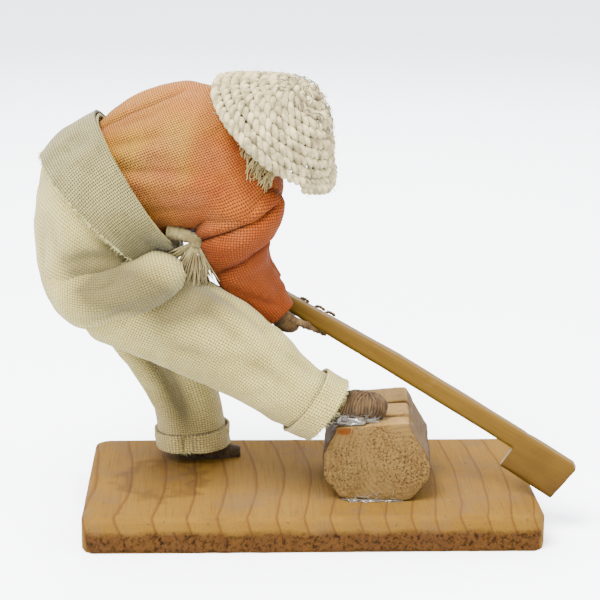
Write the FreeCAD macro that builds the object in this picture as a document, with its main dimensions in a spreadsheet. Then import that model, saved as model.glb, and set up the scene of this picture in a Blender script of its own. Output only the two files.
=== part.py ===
import FreeCAD, Part
import math
import os

import Sketcher
from FreeCAD import Placement, Rotation, Vector

# A cloth figure of a woodcutter, bent over, on a wooden board: one foot stands on a log and both
# hands hold an axe. Millimetres. The origin is the centre of the board's underside, +X runs
# towards the axe's head, +Y to the figure's left-hand side and +Z up.

doc = FreeCAD.newDocument("woodcutter")
sheet = doc.addObject("Spreadsheet::Sheet", "Dimensions")

SIZES = {
    "board_long": 160, "board_deep": 84, "board_thick": 13,
    "board_corner": 5, "board_edge": 1.5,
    "peg_hole": 0.9, "peg_depth": 7,
    "log_length": 43.5, "log_bark": 4, "log_rise": 13.3,
    "notch_deep": 3, "notch_wide": 4,
    "cloth": 0.8, "gap": 0.3, "sash_cloth": 1.2, "cuff_cloth": 1.2,
    "wire": 0.8, "channel": 0.9, "arm_wrap": 3, "arm_hole": 3.3,
    "head": 14.3, "head_room": 14.6, "hair_out": 17.4, "hair_in": 14.6, "hair_drop": 8,
    "rim": 28.5, "crown": 23.5, "rim_cord": 3.2, "crown_cord": 4,
    "axe_thick": 8, "axe_edge": 1.8, "grip_room": 8.6,
    "palm": 3.2, "finger": 1.5, "far_palm": 2.5, "knot": 2.1,
    "grip_long": 60, "grip_tall": 7,
}

# Each soft part follows ellipses set across its length: (x, y, z, direction in degrees above +X,
# half size in the XZ plane, half size across it).
TUBES = {
    "torso": [
        (-64.3, 0, 121.6, 32, 21.5, 21), (-53.9, 0, 125.9, 32, 24.6, 24),
        (-42.7, 0, 130.2, 31, 26, 25.8), (-33, -1, 133.5, 31, 24.6, 24.4),
        (-26.8, -2, 135.5, 32, 21, 20.8),
    ],
    "trunk": [
        (-60.2, 0, 122, 32, 27, 28.5), (-68.6, 0, 116.3, 38, 27.6, 29.5),
        (-73.8, 0, 111.4, 45, 26.8, 29.5), (-76, 0, 86.5, 86, 19.4, 28.4),
        (-73.5, 0, 75.6, 98, 13.4, 22),
    ],
    "sash": [
        (-60.2, 0, 122, 32, 27, 28.5), (-68.6, 0, 116.3, 38, 27.6, 29.5),
        (-73.8, 0, 111.4, 45, 26.8, 29.5),
    ],
    "leg_near": [
        (-71.1, -13, 86.1, -18, 16.5, 15.5), (-56.6, -15, 80.2, -24, 16.6, 16.4),
        (-37.6, -17, 72.1, -30, 15.9, 15.7), (-20.9, -18, 61.5, -36, 13.9, 13.7),
        (-5.9, -19, 50.1, -38, 11.2, 11), (4.7, -19, 44.6, -36, 10.2, 10),
    ],
    "cuff_near": [
        (-2.7, -19, 48.1, -37, 10.9, 10.7), (5.1, -19, 44.3, -36, 10.3, 10.1),
    ],
    "leg_far": [
        (-66, 12, 79, -62, 15.6, 15.2), (-57.2, 14, 64, -56, 13.8, 13.6),
        (-49.3, 16, 50, -60, 12.1, 12),
        (-45, 19, 36.8, -75, 11.7, 11.5), (-43.1, 22, 25.2, -86, 11.7, 11.5),
        (-42.4, 22, 18.6, -88, 11.5, 11.3),
    ],
    "cuff_far": [
        (-43, 22, 25.4, -86, 12, 11.8), (-42.4, 22, 18.4, -88, 11.7, 11.5),
    ],
    "sleeve_near": [
        (-26.5, -17, 122, -80, 13, 10.6), (-24.5, -17, 114.6, -82, 13.6, 11),
        (-25.8, -15, 104.3, -88, 11.4, 10.5),
        (-24.4, -11, 94.2, -66, 9.1, 8.9), (-19.8, -8, 84.8, -56, 9.1, 8),
        (-12.6, -5, 74.9, -50, 7, 6.2),
    ],
    "sleeve_far": [
        (-25, 17, 120, -82, 12.6, 11), (-23.4, 17, 108, -82, 12, 11),
        (-24.1, 17, 95.6, -80, 9.2, 9), (-20.1, 18, 86, -50, 7.4, 7),
        (-14.3, 18, 79.5, -40, 5.3, 5),
    ],
    "foot_near": [
        (8.9, -19, 46, -25, 4.4, 4.2), (14, -19, 45.9, 0, 4.9, 4.8),
        (21, -19, 45.4, -10, 4.2, 4.1), (25.4, -19, 44.4, -15, 2.4, 2.3),
    ],
    "foot_far": [
        (-48, 21.5, 14.6, 0, 2.1, 3), (-41, 22, 15, 0, 2.6, 4.2),
        (-31, 22.8, 15, 0, 2.5, 4), (-24.8, 23.3, 14.3, 0, 1.8, 2.4),
    ],
    "tassel": [
        (-40.3, -17.5, 104, -104, 1.6, 1.4), (-41.5, -17.5, 99.5, -104, 5.2, 2.2),
        (-43.2, -17.5, 93, -104, 8.6, 2.6),
    ],
}

# Wire routes, each a list of points; the wire turns at every point.
WIRES = {
    "spine": [(-72, 0, 96), (-69, 0, 110), (-45, 0, 129), (-28, -2.5, 135), (-17, -7, 140)],
    "leg_near": [(-70, -7, 101), (-65, -12, 87), (-38, -17, 72.5), (-6, -19, 50.5), (8, -19, 45.9),
                 (15, -19, 45.9), (15, -19, 35.4)],
    "leg_far": [(-70, 7, 101), (-63, 12, 74), (-49.5, 16, 50), (-44.3, 19.5, 34), (-42.7, 22, 20),
                (-42.7, 22, 7.4)],
    "arm_near": [(-34, -7, 130), (-26.5, -15, 118), (-25.8, -15, 104), (-23.6, -11, 94),
                 (-19.5, -7.6, 85), (-12, -4.4, 75.4), (-8.2, -0.6, 71)],
    "arm_far": [(-34, 7, 130), (-26, 15.5, 118), (-24.3, 17, 104), (-23.6, 17, 96),
                (-19.6, 18, 86), (-13.4, 17.8, 79), (-6, 14, 76.6)],
}
WRAPS = {
    "arm_near": [(-26.2, -15, 110.5), (-25.8, -15, 104), (-23.6, -11, 94), (-19.5, -7.6, 85),
                 (-13.2, -4.9, 77)],
    "arm_far": [(-25, 16.4, 110), (-24.3, 17, 104), (-23.6, 17, 96), (-19.6, 18, 86),
                (-15, 17.9, 81)],
}

# Outlines, corner by corner, in the XZ plane.
LOG_SECTION = [(10, 13.3), (34, 13.3), (41, 21), (41.3, 27), (33, 42), (8, 39.6), (3.5, 30), (3.5, 21)]
AXE_OUTLINE = [(-4, -1.6), (50, -2.5), (96.5, -3.8), (95.5, -11.5), (116.7, -12.5), (119.3, 1),
               (117.5, 2.4), (86, 3.4), (45, 4.5), (-4, 3.6)]

# The log: its front end's place, its turn in degrees, and where its notches cross it.
LOG_FRONT = Vector(22, -26.3, 0)
LOG_TURN = -4.3
LOG_CREST = 43
LOG_PEG_FACE = 41
NOTCH_MOUTH = 40.5
NOTCH_PLACES = (10, 26)
ROUNDED_BELOW = 32

# The hat's dome in steps, and the head, which sits a little above the rim.
HAT_STEPS = 5
HAT_BULGE = 2.2
HAT_AXIS = Vector(0.621, -0.297, 0.725).normalize()
HAT_CENTRE = Vector(-14.8, -8, 139.8)
HEAD_CENTRE = HAT_CENTRE + HAT_AXIS * 2.4
HAIR_BELOW_HEAD = 9

# The axe's two ends, the room its handle runs in, and the pegs of the two legs.
AXE_BUTT = Vector(-9.43, 6.5, 76.73)
AXE_TIP = Vector(90.15, -22, 24.11)
FAR_PEG = (-42.7, 22)
NEAR_PEG = (15, -19)
GRIP_START = (-12, -2.4)

# Glue: the film below the log, and two drops as (centre, half sizes along X, Y and Z).
FILM_LOW = (12, -24)
FILM_HIGH = (33, 14)
FOOT_DROP = ((15.5, -19.5, 41.2), (9, 6, 2.6))
WAIST_DROP = ((-42, -9, 94), (5, 5, 3.4))
GROUND_LOW = (-90, -50, -5)
GROUND_HIGH = (90, 50)


def bowed(reach, rise, bulge):
    """Points from (reach, 0) to (0, rise), bowed outwards by a bulge at the middle."""
    slope = math.hypot(reach, rise)
    points = []
    for step in range(HAT_STEPS + 1):
        along = step / HAT_STEPS
        out = bulge * math.sin(math.pi * along)
        points.append((reach * (1 - along) + out * rise / slope, rise * along + out * reach / slope))
    return points


RIM = SIZES["rim"]
CROWN = SIZES["crown"]
LINING = (RIM - SIZES["rim_cord"], CROWN - SIZES["crown_cord"])
HAT_PROFILE = bowed(RIM, CROWN, HAT_BULGE) + bowed(*LINING, HAT_BULGE)[::-1]
OUTLINES = {"log_section": LOG_SECTION, "axe_outline": AXE_OUTLINE, "hat_profile": HAT_PROFILE}


def fill_sheet():
    """Write every driving dimension into the spreadsheet, one alias a row."""
    rows = dict(SIZES)
    for tube, stations in TUBES.items():
        for number, station in enumerate(stations):
            rows[f"{tube}_tall_{number}"] = station[4]
            rows[f"{tube}_wide_{number}"] = station[5]
    for outline, corners in OUTLINES.items():
        for number, (across, up) in enumerate(corners):
            rows[f"{outline}_across_{number}"] = across
            rows[f"{outline}_up_{number}"] = up
    for row, (alias, value) in enumerate(rows.items(), start=1):
        sheet.set(f"A{row}", str(value))
        sheet.setAlias(f"A{row}", alias)
    doc.recompute()


def bind(thing, name, alias):
    """Bind one property of an object to the spreadsheet."""
    thing.setExpression(name, f"Dimensions.{alias}")


def station_placement(station):
    """The frame of one ellipse: its normal along the tube, its longer half size along local X."""
    x, y, z, direction, tall, wide = station
    angle = math.radians(direction)
    normal = Vector(math.cos(angle), 0, math.sin(angle))
    upwards = Vector(-math.sin(angle), 0, math.cos(angle))
    major = upwards if tall >= wide else Vector(0, 1, 0)
    return Placement(Vector(x, y, z), Rotation(major, normal.cross(major), normal, "ZXY"))


def envelope(name, tube, grow="0"):
    """A solid through the ellipses of one tube, each grown by a dimension of the sheet."""
    rings = []
    for number, station in enumerate(TUBES[tube]):
        ring = doc.addObject("Part::Ellipse", f"{name}_ring_{number}")
        tall_is_major = station[4] >= station[5]
        major, minor = ("tall", "wide") if tall_is_major else ("wide", "tall")
        ring.setExpression("MajorRadius", f"Dimensions.{tube}_{major}_{number} + ({grow})")
        ring.setExpression("MinorRadius", f"Dimensions.{tube}_{minor}_{number} + ({grow})")
        ring.Placement = station_placement(station)
        rings.append(ring)
    loft = doc.addObject("Part::Loft", name)
    loft.Sections = rings
    loft.Solid = True
    return loft


def rod(name, points, radius):
    """A round rod that follows straight runs, with a ball at each turn and at both ends."""
    pieces = []
    for number, (start, end) in enumerate(zip(points, points[1:])):
        run = Vector(*end) - Vector(*start)
        cylinder = doc.addObject("Part::Cylinder", f"{name}_run_{number}")
        bind(cylinder, "Radius", radius)
        cylinder.Height = run.Length
        cylinder.Placement = Placement(Vector(*start), Rotation(Vector(0, 0, 1), run))
        pieces.append(cylinder)
    for number, point in enumerate(points):
        pieces.append(ball(f"{name}_ball_{number}", Vector(*point), radius))
    return fuse(name, pieces)


def ball(name, centre, radius):
    """A sphere whose radius is a dimension of the sheet."""
    sphere = doc.addObject("Part::Sphere", name)
    bind(sphere, "Radius", radius)
    sphere.Placement.Base = centre
    return sphere


def lump(name, centre, halves):
    """An ellipsoid, for a drop of glue, from its half sizes along X, Y and Z."""
    drop = doc.addObject("Part::Ellipsoid", name)
    drop.Radius2, drop.Radius3, drop.Radius1 = halves
    drop.Angle1 = -90
    drop.Placement.Base = Vector(*centre)
    return drop


def fuse(name, pieces):
    """One solid out of several that overlap."""
    joined = doc.addObject("Part::MultiFuse", name)
    joined.Shapes = pieces
    return joined


def cut(name, base, *tools):
    """The base less each tool in turn."""
    for number, tool in enumerate(tools):
        result = doc.addObject("Part::Cut", f"{name}_less_{number}")
        result.Base = base
        result.Tool = tool
        base = result
    return base


def plane_of(body, role):
    """One of a body's own origin planes."""
    return next(feature for feature in body.Origin.OriginFeatures if feature.Role == role)


def sketch_on(body, name, role, lift=0):
    """An empty sketch on a body's origin plane, lifted along the plane's normal."""
    sketch = body.newObject("Sketcher::SketchObject", name)
    sketch.AttachmentSupport = [(plane_of(body, role), "")]
    sketch.MapMode = "FlatFace"
    sketch.AttachmentOffset = Placement(Vector(0, 0, lift), Rotation())
    return sketch


def draw_outline(sketch, corners, outline=None):
    """Straight lines from corner to corner, each corner held by the sheet when it is named."""
    count = len(corners)
    for number in range(count):
        start = Vector(*corners[number], 0)
        end = Vector(*corners[(number + 1) % count], 0)
        sketch.addGeometry(Part.LineSegment(start, end))
    for number, (across, up) in enumerate(corners):
        sketch.addConstraint(Sketcher.Constraint("Coincident", number, 2, (number + 1) % count, 1))
        for kind, axis, word, value in (("DistanceX", -2, "across", across),
                                        ("DistanceY", -1, "up", up)):
            if value == 0:
                sketch.addConstraint(Sketcher.Constraint("PointOnObject", number, 1, axis))
                continue
            held = sketch.addConstraint(Sketcher.Constraint(kind, -1, 1, number, 1, value))
            if outline:
                bind(sketch, f"Constraints[{held}]", f"{outline}_{word}_{number}")


def draw_circle(sketch, centre, radius):
    """A circle whose radius is a dimension of the sheet."""
    circle = sketch.addGeometry(Part.Circle(Vector(*centre, 0), Vector(0, 0, 1), SIZES[radius]))
    sketch.addConstraint(Sketcher.Constraint("DistanceX", -1, 1, circle, 3, centre[0]))
    sketch.addConstraint(Sketcher.Constraint("DistanceY", -1, 1, circle, 3, centre[1]))
    size = sketch.addConstraint(Sketcher.Constraint("Radius", circle, SIZES[radius]))
    bind(sketch, f"Constraints[{size}]", radius)


def pad(body, sketch, length, reverse=False, middle=False):
    """Pad a sketch by a dimension of the sheet."""
    feature = body.newObject("PartDesign::Pad", f"{sketch.Name}_pad")
    feature.Profile = sketch
    bind(feature, "Length", length)
    feature.Reversed = reverse
    feature.Midplane = middle
    doc.recompute()
    return feature


def pocket(body, sketch, depth=None):
    """Cut a sketch into a body, through everything both ways or down to a depth."""
    feature = body.newObject("PartDesign::Pocket", f"{sketch.Name}_pocket")
    feature.Profile = sketch
    if depth:
        bind(feature, "Length", depth)
    else:
        feature.Type = "ThroughAll"
        feature.Midplane = True
    doc.recompute()
    if feature.Shape.Volume >= feature.BaseFeature.Shape.Volume - 1e-6:
        raise RuntimeError(f"{feature.Name} cuts nothing")
    return feature


def round_edges(body, base, radius, wanted):
    """Fillet the edges of a feature that pass a test."""
    names = [f"Edge{number}" for number, edge in enumerate(base.Shape.Edges, start=1) if wanted(edge)]
    feature = body.newObject("PartDesign::Fillet", f"{base.Name}_{radius}")
    feature.Base = (base, names)
    bind(feature, "Radius", radius)
    doc.recompute()
    return feature


def edge_runs(edge, axis, least):
    """Whether an edge is at least so long and runs along an axis."""
    start, end = (vertex.Point for vertex in (edge.Vertexes[0], edge.Vertexes[-1]))
    run = end - start
    return run.Length >= least and abs(run.normalize() * axis) > 0.97


def make_board():
    """Board with rounded corners and edges, and the hole for the standing leg's wire."""
    body = doc.addObject("PartDesign::Body", "Board")
    half_long = SIZES["board_long"] / 2
    half_deep = SIZES["board_deep"] / 2
    corners = [(-half_long, -half_deep), (half_long, -half_deep), (half_long, half_deep),
               (-half_long, half_deep)]
    plan = sketch_on(body, "board_plan", "XY_Plane")
    draw_outline(plan, corners)
    slab = pad(body, plan, "board_thick")
    cornered = round_edges(body, slab, "board_corner", lambda edge: edge_runs(edge, Vector(0, 0, 1), 5))
    top = SIZES["board_thick"]
    eased = round_edges(body, cornered, "board_edge",
                        lambda edge: all(abs(vertex.Z - top) < 0.01 for vertex in edge.Vertexes))
    hole = sketch_on(body, "peg_far", "XY_Plane", top)
    draw_circle(hole, FAR_PEG, "peg_hole")
    pocket(body, hole, "peg_depth")
    return body


def make_log():
    """Log with a hewn flat top, two axe notches and the hole for the front leg's wire."""
    body = doc.addObject("PartDesign::Body", "Log")
    section = sketch_on(body, "log_end", "XZ_Plane")
    relative = [(across - LOG_FRONT.x, up) for across, up in LOG_SECTION]
    draw_outline(section, relative)
    for number in range(len(relative)):
        across = 3 * number + 1
        sheet_cell = f"Dimensions.log_section_across_{number} - {LOG_FRONT.x}"
        section.setExpression(f"Constraints[{across}]", sheet_cell)
        bind(section, f"Constraints[{across + 1}]", f"log_section_up_{number}")
    trunk = pad(body, section, "log_length", reverse=True)
    round_edges(body, trunk, "log_bark", lambda edge: edge_runs(edge, Vector(0, 1, 0), 5)
                and edge.CenterOfMass.z < ROUNDED_BELOW)
    half = SIZES["notch_wide"] / 2
    deep = SIZES["notch_deep"]
    for place in NOTCH_PLACES:
        top = sketch_on(body, f"notch_top_{place}", "YZ_Plane")
        draw_outline(top, [(place - half, LOG_CREST), (place + half, LOG_CREST),
                           (place, NOTCH_MOUTH - deep)])
        pocket(body, top)
    hole = sketch_on(body, "peg_near", "XY_Plane", LOG_PEG_FACE)
    turned = Rotation(Vector(0, 0, 1), -LOG_TURN).multVec(Vector(*NEAR_PEG, 0) - LOG_FRONT)
    draw_circle(hole, (turned.x, turned.y), "peg_hole")
    pocket(body, hole, "peg_depth")
    body.Placement = Placement(LOG_FRONT, Rotation(Vector(0, 0, 1), LOG_TURN))
    return body


def make_axe():
    """Axe carved from one piece: a handle with eased edges and a flat head below its end."""
    body = doc.addObject("PartDesign::Body", "Axe")
    side = sketch_on(body, "axe_side", "XZ_Plane")
    draw_outline(side, AXE_OUTLINE, "axe_outline")
    blank = pad(body, side, "axe_thick", middle=True)
    round_edges(body, blank, "axe_edge", lambda edge: edge_runs(edge, Vector(1, 0, 0), 15))
    body.Placement = AXE_PLACE
    return body


def make_hat():
    """Hat: a domed cone turned about its own axis, open below."""
    body = doc.addObject("PartDesign::Body", "Hat")
    profile = sketch_on(body, "hat_profile", "XZ_Plane")
    draw_outline(profile, HAT_PROFILE, "hat_profile")
    turn = body.newObject("PartDesign::Revolution", "hat_turned")
    turn.Profile = profile
    turn.ReferenceAxis = (profile, ["V_Axis"])
    turn.Angle = 360
    doc.recompute()
    body.Placement = HAT_PLACE
    return body


def make_hair():
    """Hair fringe: a ring round the head below the hat's rim."""
    outer = doc.addObject("Part::Cylinder", "hair_outer")
    inner = doc.addObject("Part::Cylinder", "hair_inner")
    for ring, radius in ((outer, "hair_out"), (inner, "hair_in")):
        bind(ring, "Radius", radius)
        bind(ring, "Height", "hair_drop")
        lowest = HEAD_CENTRE - HAT_AXIS * HAIR_BELOW_HEAD
        ring.Placement = Placement(lowest, Rotation(Vector(0, 0, 1), HAT_AXIS))
    return cut("hair", outer, inner, envelope("hair_clear", "torso", "Dimensions.gap"))


def box_between(name, low, high):
    """A box from its lowest to its highest corner."""
    box = doc.addObject("Part::Box", name)
    box.Length, box.Width, box.Height = (high[axis] - low[axis] for axis in range(3))
    box.Placement.Base = Vector(*low)
    return box


def make_grip_room():
    """The space round the handle that both hands stay clear of."""
    room = doc.addObject("Part::Box", "grip_room")
    bind(room, "Length", "grip_long")
    bind(room, "Width", "grip_room")
    bind(room, "Height", "grip_tall")
    corner = AXE_PLACE.multVec(Vector(GRIP_START[0], -SIZES["grip_room"] / 2, GRIP_START[1]))
    room.Placement = Placement(corner, AXE_PLACE.Rotation)
    return room


def shell(name, tube, *tools):
    """Cloth of one thickness along a tube, open at both ends, less the tools."""
    outer = envelope(f"{name}_outer", tube)
    inner = envelope(f"{name}_inner", tube, "-Dimensions.cloth")
    return cut(name, outer, inner, *tools)


def band(name, tube, cloth):
    """A band of cloth wrapped round a tube, a gap away from it."""
    outer = envelope(f"{name}_outer", tube, f"Dimensions.gap + Dimensions.{cloth}")
    inner = envelope(f"{name}_inner", tube, "Dimensions.gap")
    return cut(name, outer, inner)


def padding(name, tube, *tools):
    """Stuffing inside the cloth of a tube, less the tools."""
    return cut(name, envelope(f"{name}_fill", tube, "-Dimensions.cloth - Dimensions.gap"), *tools)


axe_along = (AXE_TIP - AXE_BUTT).normalize()
axe_across = (Vector(0, 1, 0) - axe_along * axe_along.y).normalize()
AXE_PLACE = Placement(AXE_BUTT, Rotation(axe_along, axe_across, axe_along.cross(axe_across), "ZXY"))
HAT_PLACE = Placement(HAT_CENTRE, Rotation(Vector(0, 0, 1), HAT_AXIS))

fill_sheet()

nodes = {}
nodes["base_board"] = make_board()
nodes["log"] = make_log()
nodes["axe"] = make_axe()
nodes["hat"] = make_hat()

# Wires, each with the slightly wider channel that it lies in.
channels = {}
for limb, route in WIRES.items():
    nodes[f"{limb}_wire"] = rod(f"{limb}_steel", route, "wire")
    channels[limb] = rod(f"{limb}_channel", route, "channel")

# Solid envelopes that other parts are kept clear of.
clear_of_trunk = envelope("trunk_clear", "trunk", "Dimensions.gap")
clear_of_torso = envelope("torso_clear", "torso", "Dimensions.gap")
clear_of_leg = envelope("leg_clear", "leg_near", "Dimensions.gap")
clear_of_head = ball("head_clear", HEAD_CENTRE, "head_room")


# Trousers and what fills them.
nodes["trouser_seat"] = shell("seat", "trunk", channels["leg_near"], channels["leg_far"])
nodes["trouser_leg_near"] = shell("near_leg", "leg_near", clear_of_trunk)
nodes["trouser_leg_far"] = shell("far_leg", "leg_far", clear_of_trunk, clear_of_leg)
nodes["cuff_near"] = band("near_cuff", "cuff_near", "cuff_cloth")
nodes["cuff_far"] = band("far_cuff", "cuff_far", "cuff_cloth")
nodes["pelvis_padding"] = padding("pelvis", "trunk", clear_of_torso, channels["spine"],
                                  channels["leg_near"], channels["leg_far"])
nodes["leg_padding_near"] = padding("near_fill", "leg_near", clear_of_trunk, channels["leg_near"])
nodes["leg_padding_far"] = padding("far_fill", "leg_far", clear_of_trunk, clear_of_leg,
                                   channels["leg_far"])

# Sash, shirt and what fills it.
sash_outer = envelope("sash_outer", "sash", "Dimensions.gap + Dimensions.sash_cloth")
nodes["waist_sash"] = cut("sash", sash_outer, clear_of_trunk, clear_of_leg)
near_armhole = rod("near_armhole", WRAPS["arm_near"][:1] + WIRES["arm_near"][1:2], "arm_hole")
far_armhole = rod("far_armhole", WRAPS["arm_far"][:1] + WIRES["arm_far"][1:2], "arm_hole")
nodes["shirt_body"] = shell("shirt", "torso", near_armhole, far_armhole, clear_of_head)
nodes["torso_padding"] = padding("chest", "torso", channels["spine"], channels["arm_near"],
                                 channels["arm_far"], clear_of_head)
nodes["sleeve_near"] = shell("near_sleeve", "sleeve_near", clear_of_torso, clear_of_leg)
nodes["sleeve_far"] = shell("far_sleeve", "sleeve_far", clear_of_torso)
for side in ("near", "far"):
    wrapped = rod(f"{side}_arm", WRAPS[f"arm_{side}"], "arm_wrap")
    nodes[f"arm_wrap_{side}"] = cut(f"{side}_arm_wrap", wrapped, channels[f"arm_{side}"])

# Head and hair.
nodes["head"] = cut("skull", ball("ball_head", HEAD_CENTRE, "head"), channels["spine"])
nodes["hair_fringe"] = make_hair()

# Hands: each holds the handle with running room round it.
grip_room = make_grip_room()
near_palm = rod("near_palm", [(-9.2, -1.4, 71.8), (-7, 1.5, 69.6)], "palm")
near_fingers = rod("near_fingers", [(-7, 1.5, 69.6), (-1.5, 2.8, 68.2), (3, 1.6, 66.2)], "finger")
nodes["hand_near"] = cut("near_hand", fuse("near_grip", [near_palm, near_fingers]), grip_room,
                         channels["arm_near"])
far_palm = rod("far_palm", [(-8, 15.4, 76.2), (-2, 13, 74.6), (5.5, 10.6, 70.8)], "far_palm")
far_finger = rod("far_finger", [(-2, 13, 74.6), (-3.6, 9.6, 78.6)], "finger")
nodes["hand_far"] = cut("far_hand", fuse("far_grip", [far_palm, far_finger]), grip_room,
                        channels["arm_far"])

# Feet, flat below where they stand.
ground = box_between("ground", GROUND_LOW, (*GROUND_HIGH, SIZES["board_thick"]))
nodes["foot_far"] = cut("far_foot", envelope("far_foot_whole", "foot_far"), ground,
                        channels["leg_far"])
nodes["foot_near"] = cut("near_foot", envelope("near_foot_whole", "foot_near"),
                         channels["leg_near"])

# Tassel of the sash: a knot and its fan of threads.
threads = envelope("threads", "tassel")
knot = ball("tassel_knot", Vector(-40.3, -17.5, 105), "knot")
nodes["sash_tassel"] = cut("tassel", fuse("tassel_whole", [threads, knot]), clear_of_leg)

# Glue: under the log, round the front foot, and at the waist behind the tassel.
nodes["log_glue"] = box_between("film", (*FILM_LOW, SIZES["board_thick"]),
                                (*FILM_HIGH, SIZES["log_rise"]))
puddle = lump("puddle", *FOOT_DROP)
nodes["foot_glue"] = cut("foot_drop", puddle, nodes["log"], envelope("foot_room", "foot_near"),
                         channels["leg_near"])
drop = lump("drop", *WAIST_DROP)
nodes["waist_glue"] = cut("waist_drop", drop, clear_of_leg, clear_of_trunk,
                          envelope("thread_room", "tassel", "Dimensions.gap"))

LABELS = {
    "spine_wire": "spine_wire", "leg_near_wire": "leg_wire_near", "leg_far_wire": "leg_wire_far",
    "arm_near_wire": "arm_wire_near", "arm_far_wire": "arm_wire_far",
}

doc.recompute()
for name, thing in nodes.items():
    thing.Label = LABELS.get(name, name)
doc.recompute()

for thing in doc.Objects:
    if "Invalid" in thing.State or "Error" in thing.State:
        raise RuntimeError(f"{thing.Name} failed: {thing.State}")

os.makedirs("parts", exist_ok=True)
for thing in nodes.values():
    shape = thing.Shape
    if shape.isNull() or not shape.isValid():
        raise RuntimeError(f"{thing.Label} has no valid shape")
    print(f"{thing.Label}: {len(shape.Solids)} solids, {shape.Volume:.1f} mm3")
    shape.exportStep(f"parts/{thing.Label}.step")
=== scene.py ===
import math
import random

import bmesh
import bpy
from mathutils import Matrix, Vector, noise


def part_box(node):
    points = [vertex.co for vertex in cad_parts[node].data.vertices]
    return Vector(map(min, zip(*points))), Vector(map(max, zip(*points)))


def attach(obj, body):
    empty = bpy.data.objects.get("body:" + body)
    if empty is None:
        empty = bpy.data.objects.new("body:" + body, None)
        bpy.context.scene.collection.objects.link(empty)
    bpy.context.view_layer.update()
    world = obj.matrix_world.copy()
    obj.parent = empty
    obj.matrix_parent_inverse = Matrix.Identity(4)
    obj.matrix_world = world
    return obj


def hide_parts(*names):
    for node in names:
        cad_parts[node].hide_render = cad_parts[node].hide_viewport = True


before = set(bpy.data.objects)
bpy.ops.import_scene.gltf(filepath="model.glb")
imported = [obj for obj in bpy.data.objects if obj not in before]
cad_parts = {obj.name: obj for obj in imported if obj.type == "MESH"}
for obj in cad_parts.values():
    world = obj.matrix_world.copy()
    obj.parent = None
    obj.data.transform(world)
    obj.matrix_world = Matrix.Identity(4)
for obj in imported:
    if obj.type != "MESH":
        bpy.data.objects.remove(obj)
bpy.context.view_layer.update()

# The looks of a cloth woodcutter on a wooden board. Shapes are worked out in millimetres, in the
# frame's own axes, and become metres where a mesh is written. The camera looks along +Y, so the
# near side of the figure is its -Y side. A soft part's seam is on its far side.

MM = 0.001
# Both cuffs are shorter, so they are given as this.
NARROWEST_CUT = 10.0
SEAM = -1.5 * math.pi
SIDE = Vector((0, 1, 0))
# The camera's place in millimetres, and its turn, dip and roll in radians.
CAMERA_PLACE = Vector((-31.9, -619.0, 239.1))
CAMERA_ANGLES = (-0.0451, 0.2526, 0.0103)


# ---------------------------------------------------------------- camera, light and floor

def in_scene(name, data):
    """A new object, linked to the scene."""
    made = bpy.data.objects.new(name, data)
    bpy.context.scene.collection.objects.link(made)
    return made


def look_from():
    """The camera, where the object was seen from."""
    data = bpy.data.cameras.new("camera")
    data.lens = 108
    data.sensor_width = 36
    turn, dip, roll = CAMERA_ANGLES
    ahead = Vector((-math.sin(turn) * math.cos(dip), math.cos(turn) * math.cos(dip), -math.sin(dip)))
    right = Vector((math.cos(turn), math.sin(turn), 0))
    above = right.cross(ahead)
    rolled_up = above * math.cos(roll) - right * math.sin(roll)
    axes = Matrix((spun(right, above, roll), rolled_up, -ahead)).transposed()
    camera = in_scene("camera", data)
    camera.matrix_world = Matrix.Translation(CAMERA_PLACE * MM) @ axes.to_4x4()
    bpy.context.scene.camera = camera


def soft_light(name, place, size, power, target=(0, 0, 0.06)):
    """A large square lamp that faces the object."""
    data = bpy.data.lights.new(name, "AREA")
    data.size = size
    data.energy = power
    lamp = in_scene(name, data)
    lamp.location = place
    facing = Vector(target) - Vector(place)
    lamp.rotation_euler = facing.to_track_quat("-Z", "Y").to_euler()


def light_the_room():
    """Pale surroundings, a key light from above on the left, a weaker fill and a rim light."""
    world = bpy.data.worlds.new("studio")
    bpy.context.scene.world = world
    world.use_nodes = True
    sky = world.node_tree.nodes["Background"]
    sky.inputs["Color"].default_value = (0.93, 0.96, 1, 1)
    sky.inputs["Strength"].default_value = 3.96
    soft_light("key", (-0.35, -0.45, 0.95), 0.6, 70.7)
    soft_light("fill", (0.9, -0.4, 0.6), 0.9, 18.8)
    soft_light("rim", (0.1, 0.8, 0.8), 0.8, 20.8)


def make_floor():
    """A pale matt table under the object."""
    corners = [(-4, -4, 0), (4, -4, 0), (4, 4, 0), (-4, 4, 0)]
    mesh = bpy.data.meshes.new("floor")
    mesh.from_pydata(corners, [], [(0, 1, 2, 3)])
    mesh.materials.append(floor_paint())
    in_scene("floor", mesh)


# ---------------------------------------------------------------- materials

def tint(*parts):
    """A colour given as a screen shows it, red, green and blue, made linear."""
    linear = [((part / 255 + 0.055) / 1.055) ** 2.4 if part > 10 else part / 3295 for part in parts]
    return (*linear, 1)


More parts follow.
